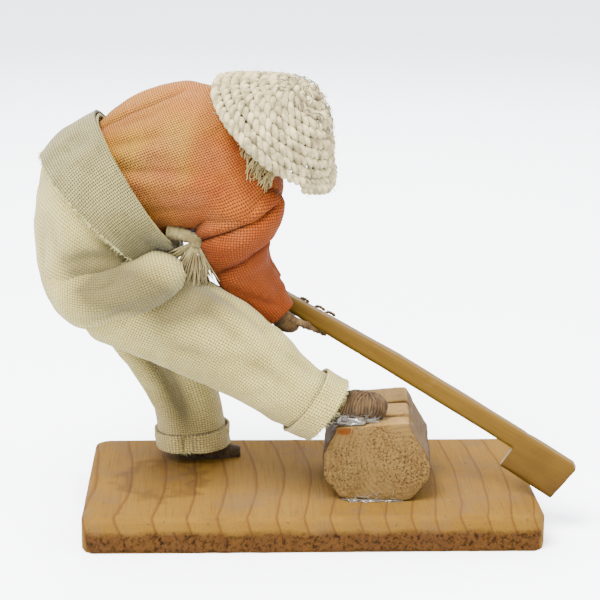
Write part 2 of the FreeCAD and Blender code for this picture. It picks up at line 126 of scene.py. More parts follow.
class Paint:
    """One material, with short calls that add nodes to its tree.

    Its place is where a point is on the piece, in metres."""

    def __init__(self, name, **constants):
        self.material = bpy.data.materials.new(name)
        self.material.use_nodes = True
        self.tree = self.material.node_tree
        self.shader = self.tree.nodes["Principled BSDF"]
        for socket, value in constants.items():
            self.shader.inputs[socket.replace("_", " ")].default_value = value
        self.place = self.node("ShaderNodeTexCoord").outputs["Object"]

    def node(self, kind, inputs=(), **settings):
        """A node with its settings and its inputs, each a value or another node's output."""
        made = self.tree.nodes.new(kind)
        for key, value in settings.items():
            setattr(made, key, value)
        for socket, value in dict(inputs).items():
            if isinstance(value, bpy.types.NodeSocket):
                self.tree.links.new(value, made.inputs[socket])
            else:
                made.inputs[socket].default_value = value
        return made

    def maths(self, operation, *values):
        """The result of one sum on numbers."""
        return self.node("ShaderNodeMath", enumerate(values), operation=operation).outputs[0]

    def times(self, first, second):
        """One number times another."""
        return self.maths("MULTIPLY", first, second)

    def plus(self, first, second):
        """One number plus another."""
        return self.maths("ADD", first, second)

    def rest(self, value):
        """What is left of 1."""
        return self.maths("SUBTRACT", 1.0, value)

    def scaled(self, vector, factors):
        """A vector with each part multiplied."""
        return self.node("ShaderNodeVectorMath", {0: vector, 1: factors}, operation="MULTIPLY").outputs[0]

    def added(self, vector, other):
        """The sum of two vectors."""
        return self.node("ShaderNodeVectorMath", {0: vector, 1: other}, operation="ADD").outputs[0]

    def parts(self, vector):
        """The three numbers of a vector."""
        return tuple(self.node("ShaderNodeSeparateXYZ", {0: vector}).outputs)

    def cloth_place(self):
        """Where a point is on the flat cloth, in metres."""
        return self.node("ShaderNodeUVMap", uv_map="cloth").outputs["UV"]

    def painted(self, attribute):
        """A number that the mesh holds for each point."""
        return self.node("ShaderNodeAttribute", attribute_name=attribute).outputs["Fac"]

    def noise(self, vector, scale, detail=3.0, roughness=0.55):
        """Smooth noise from 0 to 1."""
        inputs = {"Vector": vector, "Scale": scale, "Detail": detail, "Roughness": roughness}
        return self.node("ShaderNodeTexNoise", inputs).outputs["Fac"]

    def swirl(self, vector, scale):
        """Smooth noise with three parts, each from 0 to 1."""
        inputs = {"Vector": vector, "Scale": scale, "Detail": 3.0}
        return self.node("ShaderNodeTexNoise", inputs).outputs["Color"]

    def steps(self, value, low, high):
        """0 below low and 1 above high, smooth between."""
        inputs = {"Value": value, "From Min": low, "From Max": high}
        return self.node("ShaderNodeMapRange", inputs, interpolation_type="SMOOTHSTEP").outputs["Result"]

    def spots(self, low, high, *settings):
        """Noise as patches: 0 where it is below low, 1 where it is above high."""
        return self.steps(self.noise(*settings), low, high)

    def mixed(self, factor, first, second):
        """Two colours mixed."""
        inputs = {0: factor, 6: first, 7: second}
        return self.node("ShaderNodeMix", inputs, data_type="RGBA").outputs[2]

    def peak(self, value, low, top, high):
        """A rise from low to top and a fall from there to high."""
        return self.times(self.steps(value, low, top), self.rest(self.steps(value, top, high)))

    def laid(self, tone, colour, where, share):
        """A colour laid over a tone where a number is 1, up to a share."""
        return self.mixed(self.times(where, share), tone, colour)

    def link(self, value, socket):
        """Let a node's output set one of the surface's properties."""
        self.tree.links.new(value, self.shader.inputs[socket])

    def done(self, tone, height, distance, strength=1.0):
        """The material with its colour, and raised by height times a distance in metres."""
        self.link(tone, "Base Color")
        inputs = {"Height": height, "Distance": distance, "Strength": strength}
        self.link(self.node("ShaderNodeBump", inputs).outputs["Normal"], "Normal")
        return self.material


def weave(paint, period, wobble):
    """The heights of crossing threads on the flat cloth, and which of the two is on top."""
    across, along = period
    flat = paint.scaled(paint.cloth_place(), (1 / across, 1 / along, 1))
    centred = paint.added(paint.swirl(flat, 0.11), (-0.5, -0.5, -0.5))
    moved = paint.added(flat, paint.scaled(centred, (wobble, wobble, 0)))
    waves = [paint.maths("SINE", paint.times(part, math.pi)) for part in paint.parts(moved)[:2]]
    warp, weft = (paint.maths("ABSOLUTE", wave) for wave in waves)
    over = paint.maths("GREATER_THAN", paint.times(*waves), 0.0)
    slub = paint.noise(paint.scaled(moved, (1, 0.12, 1)), 1.0, 2.0)
    slub_across = paint.noise(paint.scaled(moved, (0.12, 1, 1)), 1.0, 2.0)
    warp = paint.times(warp, paint.plus(slub, 0.5))
    weft = paint.times(weft, paint.plus(slub_across, 0.5))
    fullest = paint.maths("MAXIMUM", warp, weft)
    top = paint.plus(paint.times(over, warp), paint.times(paint.rest(over), weft))
    height = paint.plus(paint.times(fullest, 0.5), paint.times(top, 0.5))
    return height, over


def woven(name, period, warm, cool, hollow, open_at, full_at, depth=0.0003, wobble=0.7,
          patches=(), uneven=0.0, sheen=0.08, levels=(), shade=0.5, shaded=None):
    """Plain-woven cloth: two tones of thread, painted shadow in the gaps between threads and drifting
    patches.

    A patch is (noise scale, shift, none, full, colour). A level is (height where the colour is
    full, height where it is gone, share, colour). The mesh's deep numbers say where shade is painted on."""
    paint = Paint(name, Roughness=0.88, Sheen_Weight=sheen, Sheen_Roughness=0.5, Specular_IOR_Level=0.05)
    height, over = weave(paint, period, wobble)
    tone = paint.mixed(paint.spots(0.35, 0.65, paint.place, 90.0, 4.0), warm, cool)
    for scale, shift, low, high, colour in patches:
        spread = paint.noise(paint.added(paint.place, shift), scale, 2.0)
        tone = paint.mixed(paint.steps(spread, low, high), tone, colour)
    tall = paint.parts(paint.place)[2]
    for full, none, share, colour in levels:
        higher = paint.steps(tall, min(full, none), max(full, none))
        tone = paint.laid(tone, colour, paint.rest(higher) if full < none else higher, share)
    tone = paint.laid(tone, hollow, over, 0.15)
    # Painted shade in the creases and shaded places, darkest where the mesh's deep number is 1.
    tone = paint.laid(tone, shaded or hollow, paint.painted("deep"), shade)
    # The gaps between threads take the hollow colour: painted shadow in the gaps.
    gap = paint.rest(paint.steps(height, open_at, full_at))
    patchy = paint.plus(paint.times(paint.noise(paint.place, 130.0, 2.0), 2 * uneven), 1 - uneven)
    return paint.done(paint.mixed(paint.times(gap, patchy), tone, hollow), height, depth)


def trouser_cloth():
    """Cream open-weave cotton."""
    return woven("trouser_cotton", (0.00095, 0.00092), tint(138, 128, 75), tint(129, 117, 65),
                 tint(53, 41, 14), 0.2, 0.8, uneven=0.4, shade=0.78, shaded=tint(48, 42, 27),
                 patches=[(28.0, (0.1, 0, 0), 0.5, 0.75, tint(124, 112, 63))],
                 # Low on the legs the cloth is painted warmer: painted shade with warm light bounced up from
                 # below.
                 levels=[(0.022, 0.062, 0.5, tint(138, 117, 77))])


def sash_cloth():
    """Greenish-beige plain weave with an even grid."""
    return woven("sash_cloth", (0.00098, 0.00068), tint(110, 103, 65), tint(101, 93, 55), tint(29, 22, 7),
                 0.3, 1.0, wobble=0.3)


def shirt_cloth():
    """Fine orange weave, faded in patches."""
    patches = [(24.0, (0.2, 0.1, 0), 0.46, 0.7, tint(119, 87, 24)),
               (30.0, (0, 0.3, 0.5), 0.52, 0.72, tint(110, 64, 29)),
               (18.0, (0.7, 0.2, 0.1), 0.55, 0.75, tint(118, 90, 46))]
    return woven("shirt_cloth", (0.0008, 0.0008), tint(113, 59, 11), tint(103, 46, 7), tint(47, 13, 7),
                 0.25, 1.0, depth=0.00025, wobble=0.5, patches=patches, sheen=0.01,
                 levels=[(0.100, 0.116, 0.8, tint(91, 38, 4)), (0.156, 0.138, 0.75, tint(133, 87, 36))])


def fibre_cloth(name, light, dark, flecks=None, fine=9.0, along=0.6):
    """Spun cord or thread: fine fibres along it, uneven tone and, if asked, dark flecks."""
    paint = Paint(name, Roughness=0.9, Sheen_Weight=0.06, Sheen_Roughness=0.5, Specular_IOR_Level=0.05)
    strand = paint.scaled(paint.cloth_place(), (fine * 1000, along * 1000, 1))
    fibres = paint.noise(strand, 1.0, 3.0)
    tone = paint.mixed(paint.spots(0.3, 0.7, paint.place, 260.0, 4.0), light, dark)
    tone = paint.mixed(paint.steps(fibres, 0.35, 0.75), tone, paint.mixed(0.35, tone, dark))
    if flecks:
        tone = paint.mixed(paint.spots(0.68, 0.76, paint.place, 900.0, 2.0), tone, flecks)
    return paint.done(tone, paint.plus(fibres, paint.noise(paint.place, 1500.0, 2.0)), 0.00018)


def board_wood():
    """Stained pine: narrow dark rings that run from front to back, and pitted end grain."""
    paint = Paint("board_pine", Roughness=0.7, Specular_IOR_Level=0.02)
    drift = paint.noise(paint.scaled(paint.place, (30, 16, 14)), 1.0, 3.0)
    across, deep, tall = paint.parts(paint.place)
    ring = paint.plus(across, paint.times(paint.times(deep, deep), 2.2))
    ring = paint.plus(ring, paint.times(tall, 0.35))
    ring = paint.plus(ring, paint.times(drift, 0.006))
    closer = paint.times(paint.times(ring, ring), 144.0)
    phase = paint.maths("FRACT", paint.plus(paint.maths("MULTIPLY_ADD", ring, 100.0, 0.14), closer))
    line = paint.peak(phase, 0.84, 0.95, 1.0)
    late = paint.plus(paint.times(line, 0.8), paint.times(paint.steps(phase, 0.2, 0.84), 0.15))
    streaks = paint.noise(paint.scaled(paint.place, (1400, 45, 1400)), 1.0, 4.0)
    tone = paint.mixed(paint.noise(paint.place, 26.0, 3.0), tint(88, 65, 25), tint(79, 55, 16))
    tone = paint.laid(tone, tint(59, 35, 13), late, 0.75)
    tone = paint.laid(tone, tint(65, 40, 13), paint.steps(streaks, 0.45, 0.8), 0.45)
    dirt = paint.spots(0.45, 0.75, paint.place, 55.0, 6.0, 0.7)
    tone = paint.laid(tone, tint(62, 49, 41), dirt, 0.5)
    specks = paint.spots(0.68, 0.76, paint.place, 420.0, 2.0)
    tone = paint.laid(tone, tint(41, 30, 32), specks, 0.5)
    end = paint.painted("end")
    pits = paint.spots(0.52, 0.6, paint.place, 620.0, 5.0, 0.8)
    raw = paint.mixed(paint.noise(paint.place, 300.0, 3.0), tint(57, 35, 13), tint(40, 21, 13))
    # The pits of the end grain are painted near black: painted shadow in the pits.
    raw = paint.mixed(pits, raw, tint(5, 2, 4))
    tone = paint.laid(tone, raw, end, 0.85)
    tone = paint.mixed(paint.painted("grime"), tone, tint(38, 22, 13))
    paint.link(paint.plus(0.65, paint.times(paint.plus(end, streaks), 0.18)), "Roughness")
    return paint.done(tone, paint.maths("SUBTRACT", streaks, paint.times(pits, end)), 0.00025, 0.7)


def log_wood():
    """Rough end grain with faint rings, a paler sawn top and darker flanks."""
    paint = Paint("log_wood", Roughness=0.8, Specular_IOR_Level=0.06)
    centre = Vector((34, 0, 31)) * MM
    shifted = paint.scaled(paint.added(paint.place, tuple(-centre)), (1, 0, 1))
    shifted = paint.added(shifted, paint.scaled(paint.swirl(paint.place, 60.0), (0.004, 0, 0.004)))
    reach = paint.node("ShaderNodeVectorMath", {0: shifted}, operation="LENGTH").outputs["Value"]
    phase = paint.maths("FRACT", paint.times(reach, 620.0))
    ring = paint.peak(phase, 0.4, 0.9, 1.0)
    pores = paint.spots(0.53, 0.6, paint.place, 1500.0, 5.0, 0.8)
    pits = paint.times(pores, paint.spots(0.35, 0.6, paint.place, 90.0, 2.0))
    end = paint.mixed(paint.noise(paint.place, 200.0, 4.0), tint(87, 69, 36), tint(73, 51, 23))
    end = paint.laid(end, tint(58, 38, 14), ring, 0.35)
    # The pits of the end grain are painted darker: painted shade in the pits.
    end = paint.mixed(pits, end, tint(41, 26, 9))
    streaks = paint.noise(paint.scaled(paint.place, (900, 40, 900)), 1.0, 4.0)
    top = paint.mixed(streaks, tint(110, 88, 48), tint(93, 67, 32))
    flank = paint.mixed(streaks, tint(64, 42, 14), tint(30, 17, 4))
    tone = paint.mixed(paint.painted("top"), flank, top)
    tone = paint.mixed(paint.painted("end"), tone, end)
    tone = paint.mixed(paint.painted("resin"), tone, tint(70, 35, 4))
    return paint.done(tone, paint.maths("SUBTRACT", streaks, pits), 0.0003, 0.8)


def axe_wood():
    """Pale carved wood with long grain, browner towards the head."""
    paint = Paint("axe_wood", Roughness=0.55, Specular_IOR_Level=0.06)
    flat = paint.cloth_place()
    streaks = paint.noise(paint.scaled(flat, (35, 1500, 1)), 1.0, 5.0)
    broad = paint.noise(paint.scaled(flat, (8, 260, 1)), 1.0, 3.0)
    tone = paint.mixed(broad, tint(77, 58, 13), tint(66, 45, 5))
    tone = paint.laid(tone, tint(56, 33, 4), paint.steps(streaks, 0.42, 0.75), 0.5)
    tone = paint.laid(tone, tint(42, 24, 4), paint.painted("worn"), 0.75)
    specks = paint.spots(0.7, 0.76, paint.place, 700.0, 2.0)
    tone = paint.laid(tone, tint(29, 14, 4), specks, 0.6)
    return paint.done(tone, streaks, 0.0001, 0.6)


def head_cloth():
    """Brown cloth stretched over the head, with a fine weave and painted features."""
    paint = Paint("head_cloth", Roughness=0.8, Sheen_Weight=0.2, Specular_IOR_Level=0.2)
    height, _ = weave(paint, (0.00055, 0.00055), 0.3)
    tone = paint.mixed(paint.noise(paint.place, 160.0, 3.0), tint(81, 56, 38), tint(62, 40, 26))
    # Darker where the weave is low: painted shade between the threads.
    tone = paint.laid(tone, tint(74, 46, 30), paint.rest(height), 0.5)
    tone = paint.mixed(paint.painted("lips"), tone, tint(128, 62, 48))
    tone = paint.mixed(paint.painted("line"), tone, tint(44, 28, 20))
    return paint.done(tone, height, 0.00012)


def glue():
    """Dried clear glue, a little cloudy."""
    paint = Paint("glue", Roughness=0.2, Transmission_Weight=0.45, IOR=1.45, Coat_Weight=0.3)
    tone = paint.mixed(paint.noise(paint.place, 400.0, 3.0), tint(93, 84, 70), tint(62, 53, 38))
    return paint.done(tone, paint.noise(paint.place, 700.0, 2.0), 0.0002)


def steel():
    """Dull soft wire."""
    paint = Paint("wire_steel", Metallic=1.0, Roughness=0.45)
    grain = paint.noise(paint.place, 1800.0, 3.0)
    return paint.done(paint.mixed(grain, tint(150, 148, 144), tint(110, 106, 100)), grain, 0.00005)


def floor_paint():
    """Pale matt table."""
    paint = Paint("floor_pale", Roughness=0.9, Specular_IOR_Level=0.1)
    tone = paint.mixed(paint.noise(paint.place, 6.0, 2.0), tint(240, 241, 244), tint(236, 238, 242))
    paint.link(tone, "Base Color")
    return paint.material


# ---------------------------------------------------------------- shapes

def wander(point, size, seed=0.0):
    """Smooth noise from -1 to 1 whose features are about size millimetres across."""
    return noise.noise(Vector(point) / size + Vector((seed, 1.7 * seed, -0.6 * seed)))


def ramp(value, low, high):
    """0 below low and 1 above high."""
    return max(0.0, min(1.0, (value - low) / (high - low)))


def distances(path):
    """How far along a path each of its points lies."""
    travelled = [0.0]
    for before, after in zip(path, path[1:]):
        travelled.append(travelled[-1] + (after - before).length)
    return travelled


def spun(across, other, turn):
    """The direction at an angle between two that are square to each other."""
    return across * math.cos(turn) + other * math.sin(turn)


def scatter(chance, spread):
    """A small random vector."""
    return Vector([chance.gauss(0, spread) for _ in range(3)])


def stray(start, reach, bend, steps):
    """Points of a loose fibre that reaches one way and bends another."""
    return [start + reach * step / steps + bend * (step / steps) ** 2 for step in range(steps + 1)]


def mark(mesh, name, values):
    """Give each point of a mesh a number that its material reads."""
    mesh.attributes.new(name, "FLOAT", "POINT").data.foreach_set("value", values)


def finish_piece(name, mesh, material, slot, nodes=(), body="figure"):
    """Put a mesh in the scene, on its body, with its material, and hide the CAD nodes it stands for."""
    piece = in_scene(name, mesh)
    mesh.materials.clear()
    mesh.materials.append(material)
    mesh.polygons.foreach_set("use_smooth", [True] * len(mesh.polygons))
    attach(piece, body)
    if nodes:
        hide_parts(*nodes)
    return piece


class Shape:
    """Rows of points in millimetres joined by faces, with a place on the flat cloth for each."""

    def __init__(self):
        self.points, self.faces, self.flats = [], [], []

    def rows(self, rows, flats=None, caps=True):
        """Join rings of points; flats are places on the flat cloth, one more to a ring than its points."""
        first = len(self.points)
        count = len(rows[0])
        flats = flats or [[(0, 0)] * (count + 1)] * len(rows)
        for row in rows:
            self.points += row
        for down in range(len(rows) - 1):
            for step in range(count):
                corners = [(down, step), (down, step + 1), (down + 1, step + 1), (down + 1, step)]
                self.faces.append([first + line * count + place % count for line, place in corners])
                self.flats += [flats[line][place] for line, place in corners]
        if caps:
            self.faces.append([first + place for place in range(count)][::-1])
            self.faces.append([first + (len(rows) - 1) * count + place for place in range(count)])
            self.flats += [flats[0][0]] * count + [flats[-1][0]] * count

    def tube(self, path, radius, sides=6):
        """A tube along points; radius is a number or a function of the share of the way along."""
        rows, flats = [], []
        turns = [math.tau * side / sides for side in range(sides)]
        for number, (point, frame_here, far) in enumerate(zip(path, carried_frames(path), distances(path))):
            size = radius(number / (len(path) - 1)) if callable(radius) else radius
            rows.append([point + spun(*frame_here, turn) * size for turn in turns])
            flats.append([(side * math.tau * size / sides, far) for side in range(sides + 1)])
        self.rows(rows, flats)

    def mesh(self, name):
        """The finished mesh, in metres, with its flat places as a UV map."""
        mesh = bpy.data.meshes.new(name)
        mesh.from_pydata([Vector(point) * MM for point in self.points], [], self.faces)
        layer = mesh.uv_layers.new(name="cloth")
        layer.data.foreach_set("uv", [part * MM for flat in self.flats for part in flat])
        mesh.update()
        return mesh

    def finish(self, name, material, slot, nodes=(), body="figure"):
        """Make the shape a piece of the scene."""
        return finish_piece(name, self.mesh(name), material, slot, nodes, body)


def carried_frames(path):
    """Two directions across each point of a path, turned as little as possible from one to the next."""
    frames = []
    across = None
    for number, point in enumerate(path):
        before = path[max(number - 1, 0)]
        after = path[min(number + 1, len(path) - 1)]
        ahead = (after - before).normalized()
        if across is None:
            across = ahead.orthogonal().normalized()
        across = (across - ahead * across.dot(ahead)).normalized()
        frames.append((across, ahead.cross(across)))
    return frames


def curve_through(values, steps):
    """Tuples of numbers on a smooth line through the given ones, steps to each span."""
    result = []
    last = len(values) - 1
    for span in range(last):
        near = [values[max(span - 1, 0)], values[span], values[span + 1], values[min(span + 2, last)]]
        for step in range(steps + (span == last - 1)):
            share = step / steps
            weights = (
                -0.5 * share + share ** 2 - 0.5 * share ** 3,
                1 - 2.5 * share ** 2 + 1.5 * share ** 3,
                0.5 * share + 2 * share ** 2 - 1.5 * share ** 3,
                -0.5 * share ** 2 + 0.5 * share ** 3,
            )
            result.append([sum(weight * value[part] for weight, value in zip(weights, near))
                           for part in range(len(values[0]))])
    return result


def smooth_path(points, steps=6):
    """A smooth path of vectors through points."""
    return [Vector(point) for point in curve_through([tuple(point) for point in points], steps)]


# Each soft part follows ellipses: (x, y, z, direction in degrees above +X, half size in the XZ
# plane, half size across it), as in the CAD design.
TORSO = [(-64.3, 0, 121.6, 32, 21.5, 21), (-53.9, 0, 125.9, 32, 24.6, 24), (-42.7, 0, 130.2, 31, 26, 25.8),
         (-33, -1, 133.5, 31, 24.6, 24.4), (-26.8, -2, 135.5, 32, 21, 20.8)]
SHOULDERS = [(-33, -1, 133.5, 31, 26, 25), (-26.8, -2, 136, 32, 23.5, 21.5), (-21.5, -4, 138.4, 32, 18, 16.5),
             (-18.5, -5.5, 140, 32, 10, 9.5)]
TRUNK = [(-60.2, 0, 122, 32, 27, 28.5), (-68.6, 0, 116.3, 38, 27.6, 29.5), (-73.8, 0, 111.4, 45, 26.8, 29.5),
         (-76, 0, 86.5, 86, 19.4, 28.4), (-73.5, 0, 75.6, 98, 13.4, 22)]
LEG_NEAR = [(-71.1, -13, 86.1, -18, 16.5, 15.5), (-56.6, -15, 80.2, -24, 16.6, 16.4),
            (-37.6, -17, 72.1, -30, 15.9, 15.7), (-20.9, -18, 61.5, -36, 13.9, 13.7),
            (-5.9, -19, 50.1, -38, 11.2, 11), (4.7, -19, 44.6, -36, 10.2, 10)]
CUFF_NEAR = [(-2.7, -19, 48.1, -37, 10.9, 10.7), (5.1, -19, 44.3, -36, 10.3, 10.1)]
LEG_NEAR_START = [(-80, -12, 88, -10, 8, 8)]
LEG_FAR_START = [(-76, 4, 98, -60, 5, 6), (-71.5, 8, 89, -62, 12.5, 13)]
SEAT_CLOSED = [(-70, 0, 72.5, 112, 5, 11)]
SLEEVE_FAR_START = [(-31, 6, 133, -60, 4, 4), (-28, 12.5, 127.5, -72, 9.5, 9)]
PELVIS_FILL = [(-66, 0, 118.5, 36, 21, 21)]
SEAT_FOLD = [(-92, -10, 90, 5, 4, 7), (-85, -15, 87, 0, 9.5, 13), (-75, -18, 86.5, 0, 10.5, 15.5),
             (-65, -19.5, 88.5, 15, 10, 15.5), (-56, -20.5, 92, 20, 9.5, 14.5), (-49, -21, 94.5, 20, 6.5, 11),
             (-45, -21.5, 95.5, 20, 1.5, 4)]
LEG_FAR = [(-66, 12, 79, -62, 15.6, 15.2), (-57.2, 14, 64, -56, 13.8, 13.6), (-49.3, 16, 50, -60, 12.1, 12),
           (-45, 19, 36.8, -75, 11.7, 11.5), (-43.1, 22, 25.2, -86, 11.7, 11.5),
           (-42.4, 22, 18.6, -88, 11.5, 11.3)]
CUFF_FAR = [(-43, 22, 25.4, -86, 12, 11.8), (-42.4, 22, 18.4, -88, 11.7, 11.5)]
SLEEVE_NEAR = [(-27.3, -14, 122, -80, 12, 8.5), (-25.4, -15.5, 114.6, -82, 14.3, 10.4),
               (-26.8, -15, 104.3, -88, 12.6, 10.7), (-25.1, -11, 94.2, -66, 9.7, 8.9),
               (-19.8, -8, 84.8, -56, 9.1, 8), (-12.6, -5, 74.9, -50, 7, 6.2)]
SLEEVE_FAR = [(-25, 17, 120, -82, 12.6, 11), (-23.4, 17, 108, -82, 12, 11), (-24.1, 17, 95.6, -80, 9.2, 9),
              (-20.1, 18, 86, -50, 7.4, 7), (-14.3, 18, 79.5, -40, 5.3, 5)]
FOOT_NEAR = [(8.9, -19, 46, -25, 4.4, 4.2), (14, -19, 45.9, 0, 4.9, 4.8), (21, -19, 45.4, -10, 4.2, 4.1),
             (25.4, -19, 44.4, -15, 2.4, 2.3)]
FOOT_FAR = [(-48, 21.5, 14.6, 0, 2.1, 3), (-41, 22, 15, 0, 2.6, 4.2), (-31, 22.8, 15, 0, 2.5, 4),
            (-24.8, 23.3, 14.3, 0, 1.8, 2.4)]

ARM_NEAR = [(-26.2, -15, 110.5), (-25.8, -15, 104), (-23.6, -11, 94), (-19.5, -7.6, 85), (-13.2, -4.9, 77)]
ARM_FAR = [(-25, 16.4, 110), (-24.3, 17, 104), (-23.6, 17, 96), (-19.6, 18, 86), (-15, 17.9, 81)]

HAT_AXIS = Vector((0.621, -0.297, 0.725)).normalized()
HAT_CENTRE = Vector((-14.8, -8, 139.8))
HAT_REACH, HAT_RISE = 28.5, 23.5
HAT_SLOPE = math.hypot(HAT_REACH, HAT_RISE)
HAT_ACROSS = HAT_AXIS.cross(SIDE).normalized()
HAT_OTHER = HAT_AXIS.cross(HAT_ACROSS)
HEAD_CENTRE = HAT_CENTRE + HAT_AXIS * 2.4
# The face looks forwards and down, square to the hat's axis.
FORWARDS = Vector((0.75, -0.05, -0.6))
FACE_AHEAD = (FORWARDS - HAT_AXIS * FORWARDS.dot(HAT_AXIS)).normalized()


class Tube:
    """A soft part's surface: a point for each distance along it and each angle round it.

    The angle is 0 at the top, 90 degrees on the far side and -90 on the near side."""

    def __init__(self, stations, steps, grow=0.0):
        self.track = curve_through(stations, steps)
        self.middles = [Vector(station[:3]) for station in self.track]
        self.along = distances(self.middles)
        self.grow = grow

    def point(self, row, turn, out=0.0):
        direction, tall, wide = self.track[row][3:]
        lean = math.radians(direction)
        upwards = Vector((-math.sin(lean), 0, math.cos(lean)))
        size = self.grow + out
        return (self.middles[row] + upwards * (tall + size) * math.cos(turn)
                + SIDE * (wide + size) * math.sin(turn))

    def outwards(self, row, turn):
        return (self.point(row, turn) - self.middles[row]).normalized()

    def flat(self, row, turn):
        """The place on the flat cloth, measured from the middle of the near side."""
        return ((turn + math.pi / 2) * sum(self.track[row][4:]) / 2, self.along[row])


def fold_at(flat, folds):
    """How far a set of folds moves the cloth at one place on it.

    A fold is (start, end, half width, height): start and end are places on the flat cloth."""
    moved = 0.0
    here = Vector(flat)
    for start, end, width, height in folds:
        first, run = Vector(start), Vector(end) - Vector(start)
        share = max(0.0, min(1.0, (here - first).dot(run) / run.length_squared))
        gap = (here - first - run * share).length
        ends = math.sin(math.pi * (0.15 + 0.7 * share))
        moved += height * ends / (1 + (gap / width) ** 2) ** 1.5
    return moved


def garment_rows(tube, around, folds=(), creases=0.0, crease_size=9.0, seed=1.0):
    """Rows of points of a soft tube with folds and small creases, and their flat places."""
    rows, flats = [], []
    turns = [math.tau * step / around + SEAM for step in range(around + 1)]
    for row in range(len(tube.track)):
        places = [tube.flat(row, turn) for turn in turns]
        points = []
        for turn, place in zip(turns[:-1], places):
            plain = tube.point(row, turn)
            small = wander(plain, crease_size, seed) + 0.5 * wander(plain, crease_size * 0.45, seed + 5)
            points.append(plain + tube.outwards(row, turn) * (creases * small + fold_at(place, folds)))
        rows.append(points)
        flats.append(places)
    return rows, flats


def cloth_area(rows):
    """The flat size in metres given for a tube of cloth: mean girth, and length or the least allowed."""
    girths = [sum((point - row[number - 1]).length for number, point in enumerate(row)) for row in rows]
    length = distances([sum(row, Vector()) / len(row) for row in rows])[-1]
    return (sum(girths) / len(girths) * MM, max(length, NARROWEST_CUT) * MM)


def garment(name, stations, finish, nodes, around=160, steps=14, thickness=0.8,
            folds=(), creases=0.5, crease_size=9.0, seed=1.0, grow=0.0, shades=()):
    """A tube of cloth over a soft part, with shade painted into its folds and at given places.

    A shade is a patch of painted shade: (middle, half width, share), with the middle a place on the flat
    cloth."""
    rows, flats = garment_rows(Tube(stations, steps, grow), around, folds, creases, crease_size, seed)
    shape = Shape()
    shape.rows(rows, flats, caps=False)
    piece = shape.finish(name, *finish, nodes)
    # Painted shade for each point: darker in the cloth's creases and in the given shades.
    painted_shade = []
    for place in (place for places in flats for place in places[:-1]):
        shade = sum(share * math.exp(-((Vector(place) - Vector(middle)).length / reach) ** 2)
                    for middle, reach, share in shades)
        painted_shade.append(min(1.0, ramp(-fold_at(place, folds), 0.3, 2.2) + shade))
    mark(piece.data, "deep", painted_shade)
    solid = piece.modifiers.new("thickness", "SOLIDIFY")
    solid.thickness = thickness * MM
    solid.offset = -1.0
    cloth_area(rows)


def stuffing(name, stations, material, node, shrink, seed):
    """Lumpy wadding inside a soft part."""
    rows, flats = garment_rows(Tube(stations, 8, -shrink), 56, creases=0.6, crease_size=6, seed=seed)
    shape = Shape()
    shape.rows(rows, flats)
    shape.finish(name, material, "stuffing", [node])


def fray(name, stations, grow, count, length, radius, material, slot, seed):
    """Loose thread ends round the last ring of a soft part."""
    tube = Tube(stations, 14, grow)
    places = 160
    edge = [tube.point(len(tube.track) - 1, math.tau * step / places + SEAM) for step in range(places + 1)]
    outwards = (Vector(stations[-1][:3]) - Vector(stations[-2][:3])).normalized()
    chance = random.Random(seed)
    shape = Shape()
    for _ in range(count):
        place = chance.random() * places
        number = int(place)
        start = edge[number].lerp(edge[min(number + 1, places)], place - number)
        heading = (outwards + scatter(chance, 0.7)).normalized()
        bend = scatter(chance, 0.5)
        reach = length * chance.uniform(0.4, 1.2)
        path = [start - heading * 0.4] + stray(start, heading * reach, bend * reach * 0.6, 5)[1:]
        shape.tube(path, lambda share: radius * (1 - 0.6 * share), 4)
    shape.finish(name, material, slot)


# ---------------------------------------------------------------- wood

def weathered(name, node, voxel, smoothing, moved, marks, material, slot, flat=None, body="figure"):
    """A dense copy of a CAD piece with its edges worn, its surface moved and its zones marked."""
    block = in_scene("block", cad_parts[node].data.copy())
    remesh = block.modifiers.new("dense", "REMESH")
    remesh.mode = "VOXEL"
    remesh.voxel_size = voxel * MM
    bpy.context.view_layer.update()
    dense = bpy.data.meshes.new_from_object(block.evaluated_get(bpy.context.evaluated_depsgraph_get()))
    bpy.data.objects.remove(block)
    shape = bmesh.new()
    shape.from_mesh(dense)
    for _ in range(smoothing):
        bmesh.ops.smooth_vert(shape, verts=shape.verts, factor=0.5,
                              use_axis_x=True, use_axis_y=True, use_axis_z=True)
    shape.normal_update()
    places = [(vertex.co / MM, vertex.normal.copy()) for vertex in shape.verts]
    for vertex, (place, normal) in zip(shape.verts, places):
        vertex.co = (place + normal * moved(place, normal)) * MM
    shape.to_mesh(dense)
    shape.free()
    for zone, value in marks.items():
        mark(dense, zone, [value(place, normal) for place, normal in places])
    if flat:
        layer = dense.uv_layers.new(name="cloth")
        loops = [flat(dense.vertices[loop.vertex_index].co / MM) for loop in dense.loops]
        layer.data.foreach_set("uv", [part * MM for place in loops for part in place])
    dense.name = name
    finish_piece(name, dense, material, slot, [node], body)


def pitted(place, size, seed):
    """How deep the pits of end grain are at one place, from 0 to 1."""
    depth = wander(place, size, seed) + 0.6 * wander(place, size * 0.5, seed + 3)
    return ramp(depth, 0.1, 0.6)


def bevel(normal, low, high):
    """How close to an edge or a corner a point is, from how slanted the surface is there."""
    return ramp(abs(normal.x) + abs(normal.y) + abs(normal.z), low, high)


